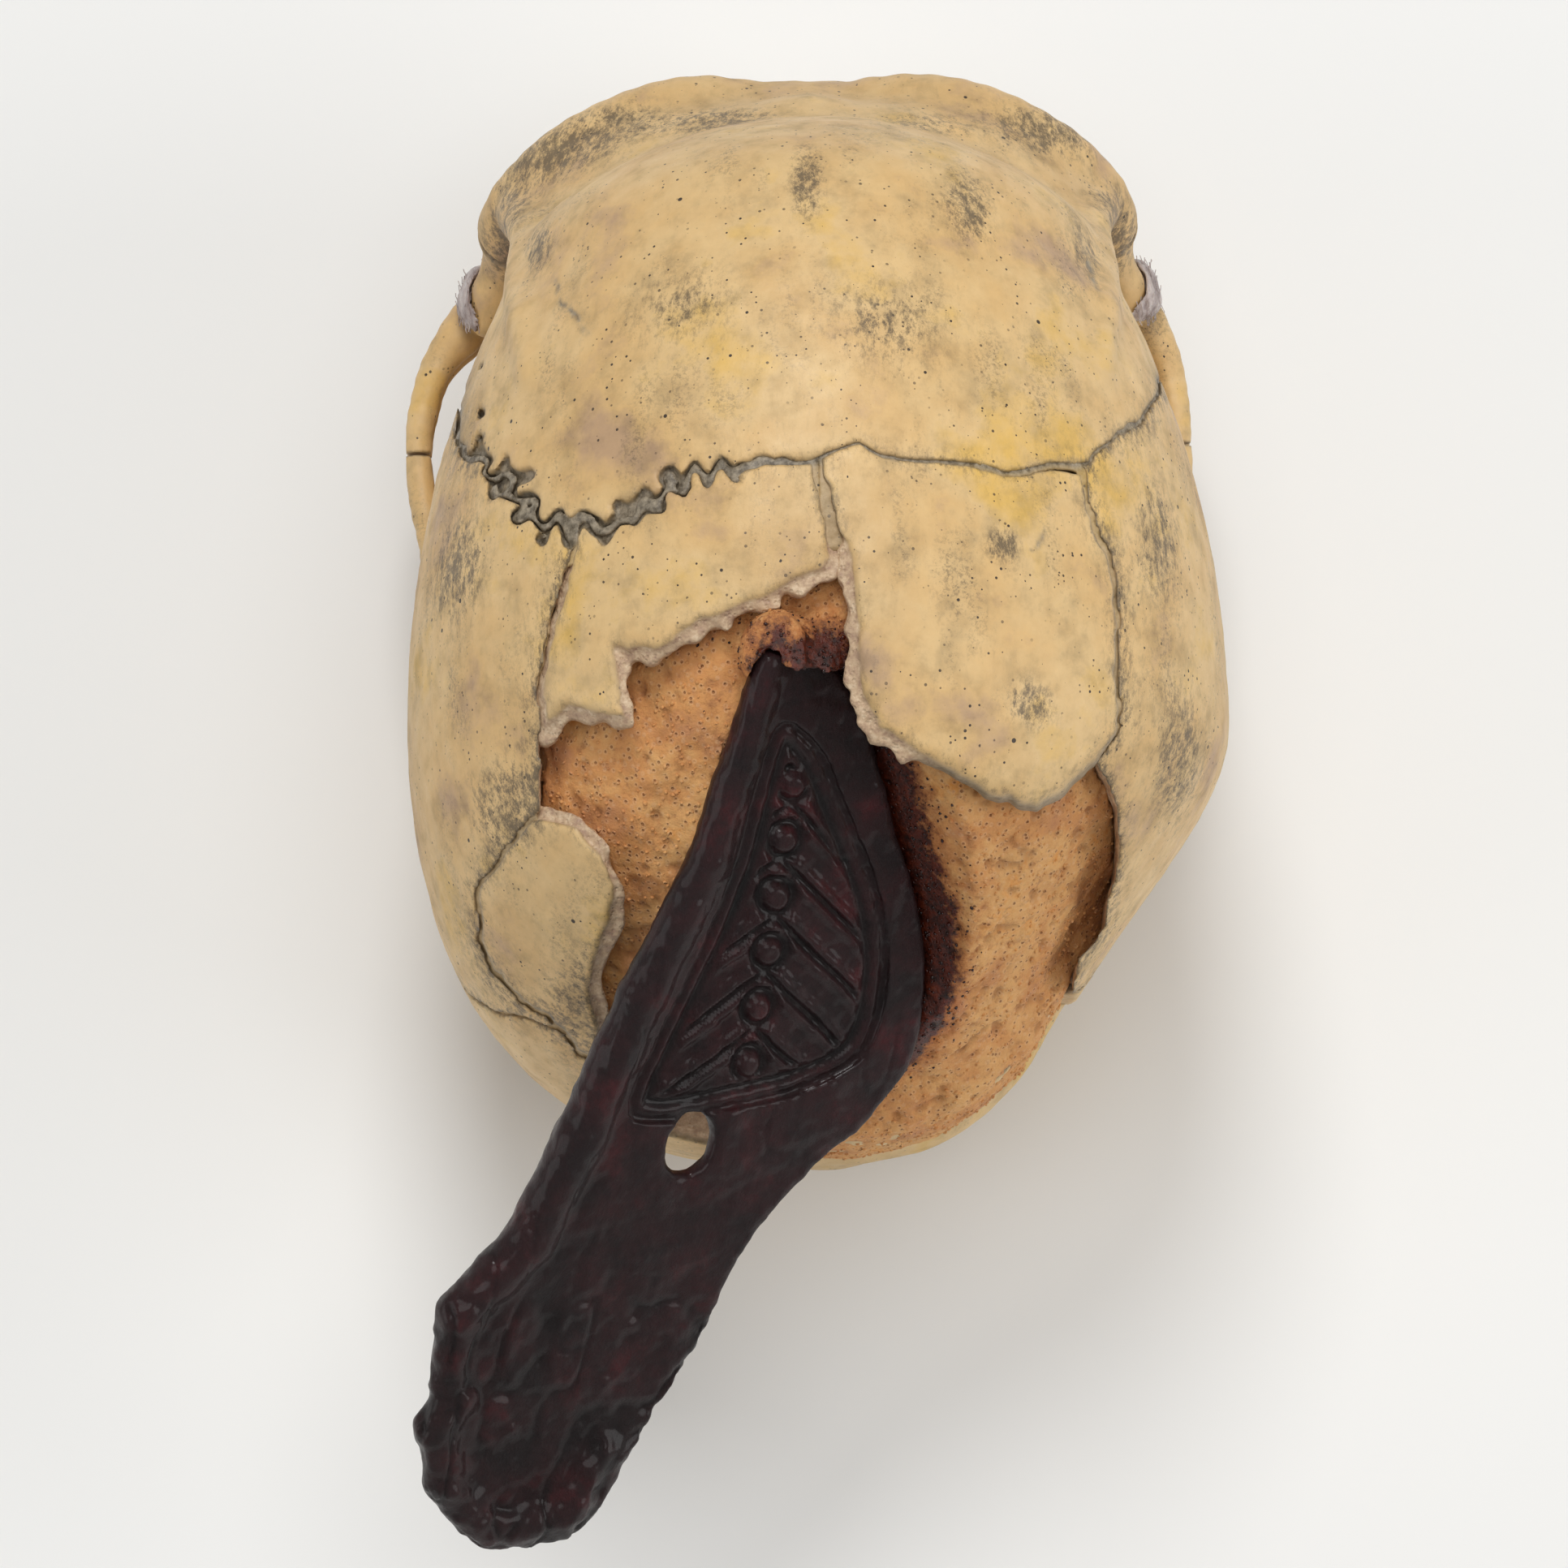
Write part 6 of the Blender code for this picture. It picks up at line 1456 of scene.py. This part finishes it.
def fibreTree(material):
    # Short bent hairs that lie along the arch
    tree, given, output = startGeometry("glue_fibres", (
        ("Density", "NodeSocketFloat"), ("Length", "NodeSocketFloat"), ("Thick", "NodeSocketFloat"),
        ("Seed", "NodeSocketInt")))
    points = addNode(tree, "GeometryNodeDistributePointsOnFaces", {},
                     {"Mesh": given["Geometry"], "Density": given["Density"], "Seed": given["Seed"]})
    hair = addNode(tree, "GeometryNodeCurvePrimitiveLine",
                   {"Start": (0, -0.5, 0), "End": (0, 0.5, 0)}).outputs[0]
    hair = addNode(tree, "GeometryNodeResampleCurve", {"Count": 6}, {"Curve": hair}).outputs[0]
    sized = addNode(tree, "ShaderNodeVectorMath", {"operation": "SCALE", 0: (1.0, 1.0, 1.0)},
                    {"Scale": given["Length"]}).outputs[0]
    turn = addNode(tree, "FunctionNodeRandomValue",
                   {"data_type": "FLOAT_VECTOR", 0: (-0.25, -0.3, -0.35), 1: (0.25, 0.3, 0.35)},
                   {"Seed": given["Seed"]}).outputs[0]
    placed = addNode(tree, "GeometryNodeInstanceOnPoints", {},
                     {"Points": points.outputs[0], "Instance": hair, "Rotation": turn,
                      "Scale": sized}).outputs[0]
    real = addNode(tree, "GeometryNodeRealizeInstances", {}, {"Geometry": placed}).outputs[0]
    bend = addNode(tree, "ShaderNodeTexNoise", {"Scale": 0.5, "Detail": 2.0}).outputs["Color"]
    bend = addNode(tree, "ShaderNodeVectorMath", {"operation": "SUBTRACT", 1: (0.5, 0.5, 0.5)},
                   {"0": bend}).outputs[0]
    bent = addNode(tree, "GeometryNodeSetPosition", {}, {"Geometry": real, "Offset": bend}).outputs[0]
    ring = addNode(tree, "GeometryNodeCurvePrimitiveCircle", {"Resolution": 5},
                   {"Radius": given["Thick"]}).outputs[0]
    solid = addNode(tree, "GeometryNodeCurveToMesh", {"Fill Caps": True},
                    {"Curve": bent, "Profile Curve": ring}).outputs[0]
    endGeometry(tree, output, solid, material)
    return tree


def grow(name, tree, points, faces, marks, values):
    # The nodes run on a copy of the surface in mm; what they make becomes a plain mesh in metres
    carrier = solidFrom(name + "_carrier", points, faces, marks, None, Matrix(), None)
    modifier = carrier.modifiers.new(name, "NODES")
    modifier.node_group = tree
    for item in tree.interface.items_tree:
        if item.in_out == "INPUT" and item.name in values:
            modifier[item.identifier] = values[item.name]
    depsgraph = bpy.context.evaluated_depsgraph_get()
    mesh = bpy.data.meshes.new_from_object(carrier.evaluated_get(depsgraph))
    carrier.modifiers.clear()
    bpy.data.objects.remove(carrier, do_unlink=True)
    mesh.transform(standing)
    mesh.name = name
    made = bpy.data.objects.new(name, mesh)
    bpy.context.scene.collection.objects.link(made)
    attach(made, "root")
    print(f"{name}: {sum(len(face.vertices) - 2 for face in mesh.polygons)} triangles")
    return made


buildCore()
buildBlade()


# Vomer and the glue behind the cheek bones
small = {
    "vomer": ((-0.30, 0.50), (-0.12, -0.10), (-0.05, -0.50), (0.47, -0.50), (0.47, -0.42),
              (0.30, 0.10), (0.18, 0.50)),
    "glue": (0.820, 0.655, 0.010), "glueSize": (5.0, 6.5, 5.0),
}


def buildSmall():
    step = 0.4 * skull["grain"]
    centre, size = place(face["choana"][0]), face["choana"][1]
    axes = gridAxes((-2, centre[1] - 34, centre[2] - 17), (2, centre[1] + 34, centre[2] + 17), step)
    x, y, z = np.meshgrid(*axes, indexing="ij", sparse=True)
    outline = [(centre[1] + a * size[1], centre[2] + b * (size[2] - 0.6)) for a, b in small["vomer"]]
    field = smoothMax(outlineField(y, z, outline), np.abs(x) - 0.9, 0.6)
    points, faces = fieldPoints(field, axes, step)
    zero = np.zeros(len(points))
    # The vomer lies deep in the nose, so half the painted recess shade is laid all over it
    marks = {"occlusionShade": zero + 0.5, "seam": zero, "raw": zero, "grime": zero}
    piece = solidFrom("vomer_cast", points, faces, marks, finishes["bone"])
    standFor(piece, "vomer")
    for side, word in ((1, "right"), (-1, "left")):
        centre = place(small["glue"]) * np.array((side, 1, 1))
        axes = gridAxes(centre - 11, centre + 11, step)
        x, y, z = np.meshgrid(*axes, indexing="ij", sparse=True)
        head = headField(axes, step)
        lump = ballField(x, y, z, centre, small["glueSize"])
        lump = lump + 0.6 * noiseAt(x, y, z, 3.5, 16) + 0.2
        cheek = np.maximum(head, cheekRegion(x, y, z))
        points, faces = fieldPoints(np.maximum(lump, 0.3 - cheek), axes, step)
        normals = pointNormals(points, faces)
        p = points.T
        points = points + normals * (0.25 * noiseAt(p[0] * 2, p[1] * 0.5, p[2] * 2, 1.6, 18))[:, None]
        piece = solidFrom(f"{word}_cheek_glue_blob", points, faces, {}, finishes["glue"])
        standFor(piece, f"{word}_cheek_glue")
        grow(f"{word}_cheek_glue_fibres", fibreTree(finishes["glue"]), points, faces, {}, scatter["fibres"])


buildSmall()
print("vomer and glue: made")


# Floor, light and camera
studio = {
    "floor": "#F4F4F2", "world": "#FFFFFF", "worldStrength": 0.25,
    "azimuth": -2.4, "elevation": 75.0, "roll": 1.5, "distance": 1.4, "aim": (0.0, 0.0, 0.1),
    "millimetresPerPixel": 0.137, "aimPixel": (1003.0, 918.0), "pixels": 1932.0, "sensor": 36.0,
    "floorReach": 6.0, "floorDrop": 0.0005,
    "lamps": (  # name, place and width in metres, watts
        ("key_light", (-0.1, 0.9, 1.6), 0.6, 13.0), ("top_light", (0.1, -0.1, 1.9), 1.2, 8.5),
        ("left_fill", (-1.5, -0.5, 0.9), 1.2, 5.0), ("right_fill", (1.5, -0.4, 0.9), 1.2, 9.5),
    ),
}


def buildStudio():
    mesh = bpy.data.meshes.new("studio_floor")
    reach = studio["floorReach"]
    mesh.from_pydata([(-reach, -reach, 0), (reach, -reach, 0), (reach, reach, 0), (-reach, reach, 0)], [],
                     [(0, 1, 2, 3)])
    floor = bpy.data.objects.new("studio_floor", mesh)
    floor.location.z = -studio["floorDrop"]
    bpy.context.scene.collection.objects.link(floor)
    material, _, shader, _ = startMaterial("matt_paper_floor")
    shader.inputs["Base Color"].default_value = linear(studio["floor"])
    shader.inputs["Roughness"].default_value = 0.9
    mesh.materials.append(material)
    world = bpy.data.worlds.new("studio_world")
    world.use_nodes = True
    sky = world.node_tree.nodes["Background"]
    sky.inputs["Color"].default_value = linear(studio["world"])
    sky.inputs["Strength"].default_value = studio["worldStrength"]
    bpy.context.scene.world = world
    for name, spot, size, energy in studio["lamps"]:
        lamp = bpy.data.lights.new(name, "AREA")
        lamp.shape = "DISK"
        lamp.size = size
        lamp.energy = energy
        made = bpy.data.objects.new(name, lamp)
        made.location = spot
        made.rotation_mode = "QUATERNION"
        made.rotation_quaternion = (Vector(studio["aim"]) - Vector(spot)).to_track_quat("-Z", "Y")
        bpy.context.scene.collection.objects.link(made)
    bpy.context.scene.view_settings.view_transform = "Standard"


def buildCamera():
    a, e = math.radians(studio["azimuth"]), math.radians(studio["elevation"])
    back = Vector((math.sin(a) * math.cos(e), -math.cos(a) * math.cos(e), math.sin(e)))
    lens = bpy.data.cameras.new("photo_camera")
    lens.sensor_width = studio["sensor"]
    pixels = studio["pixels"]
    lens.lens = studio["sensor"] * studio["distance"] / (pixels * studio["millimetresPerPixel"] / 1000)
    lens.shift_x = -(studio["aimPixel"][0] - pixels / 2) / pixels
    lens.shift_y = (studio["aimPixel"][1] - pixels / 2) / pixels
    camera = bpy.data.objects.new("photo_camera", lens)
    camera.location = Vector(studio["aim"]) + back * studio["distance"]
    camera.rotation_mode = "QUATERNION"
    roll = Quaternion((0, 0, 1), math.radians(studio["roll"]))
    camera.rotation_quaternion = back.to_track_quat("Z", "Y") @ roll
    bpy.context.scene.collection.objects.link(camera)
    bpy.context.scene.camera = camera


buildStudio()
buildCamera()
print("studio: made")
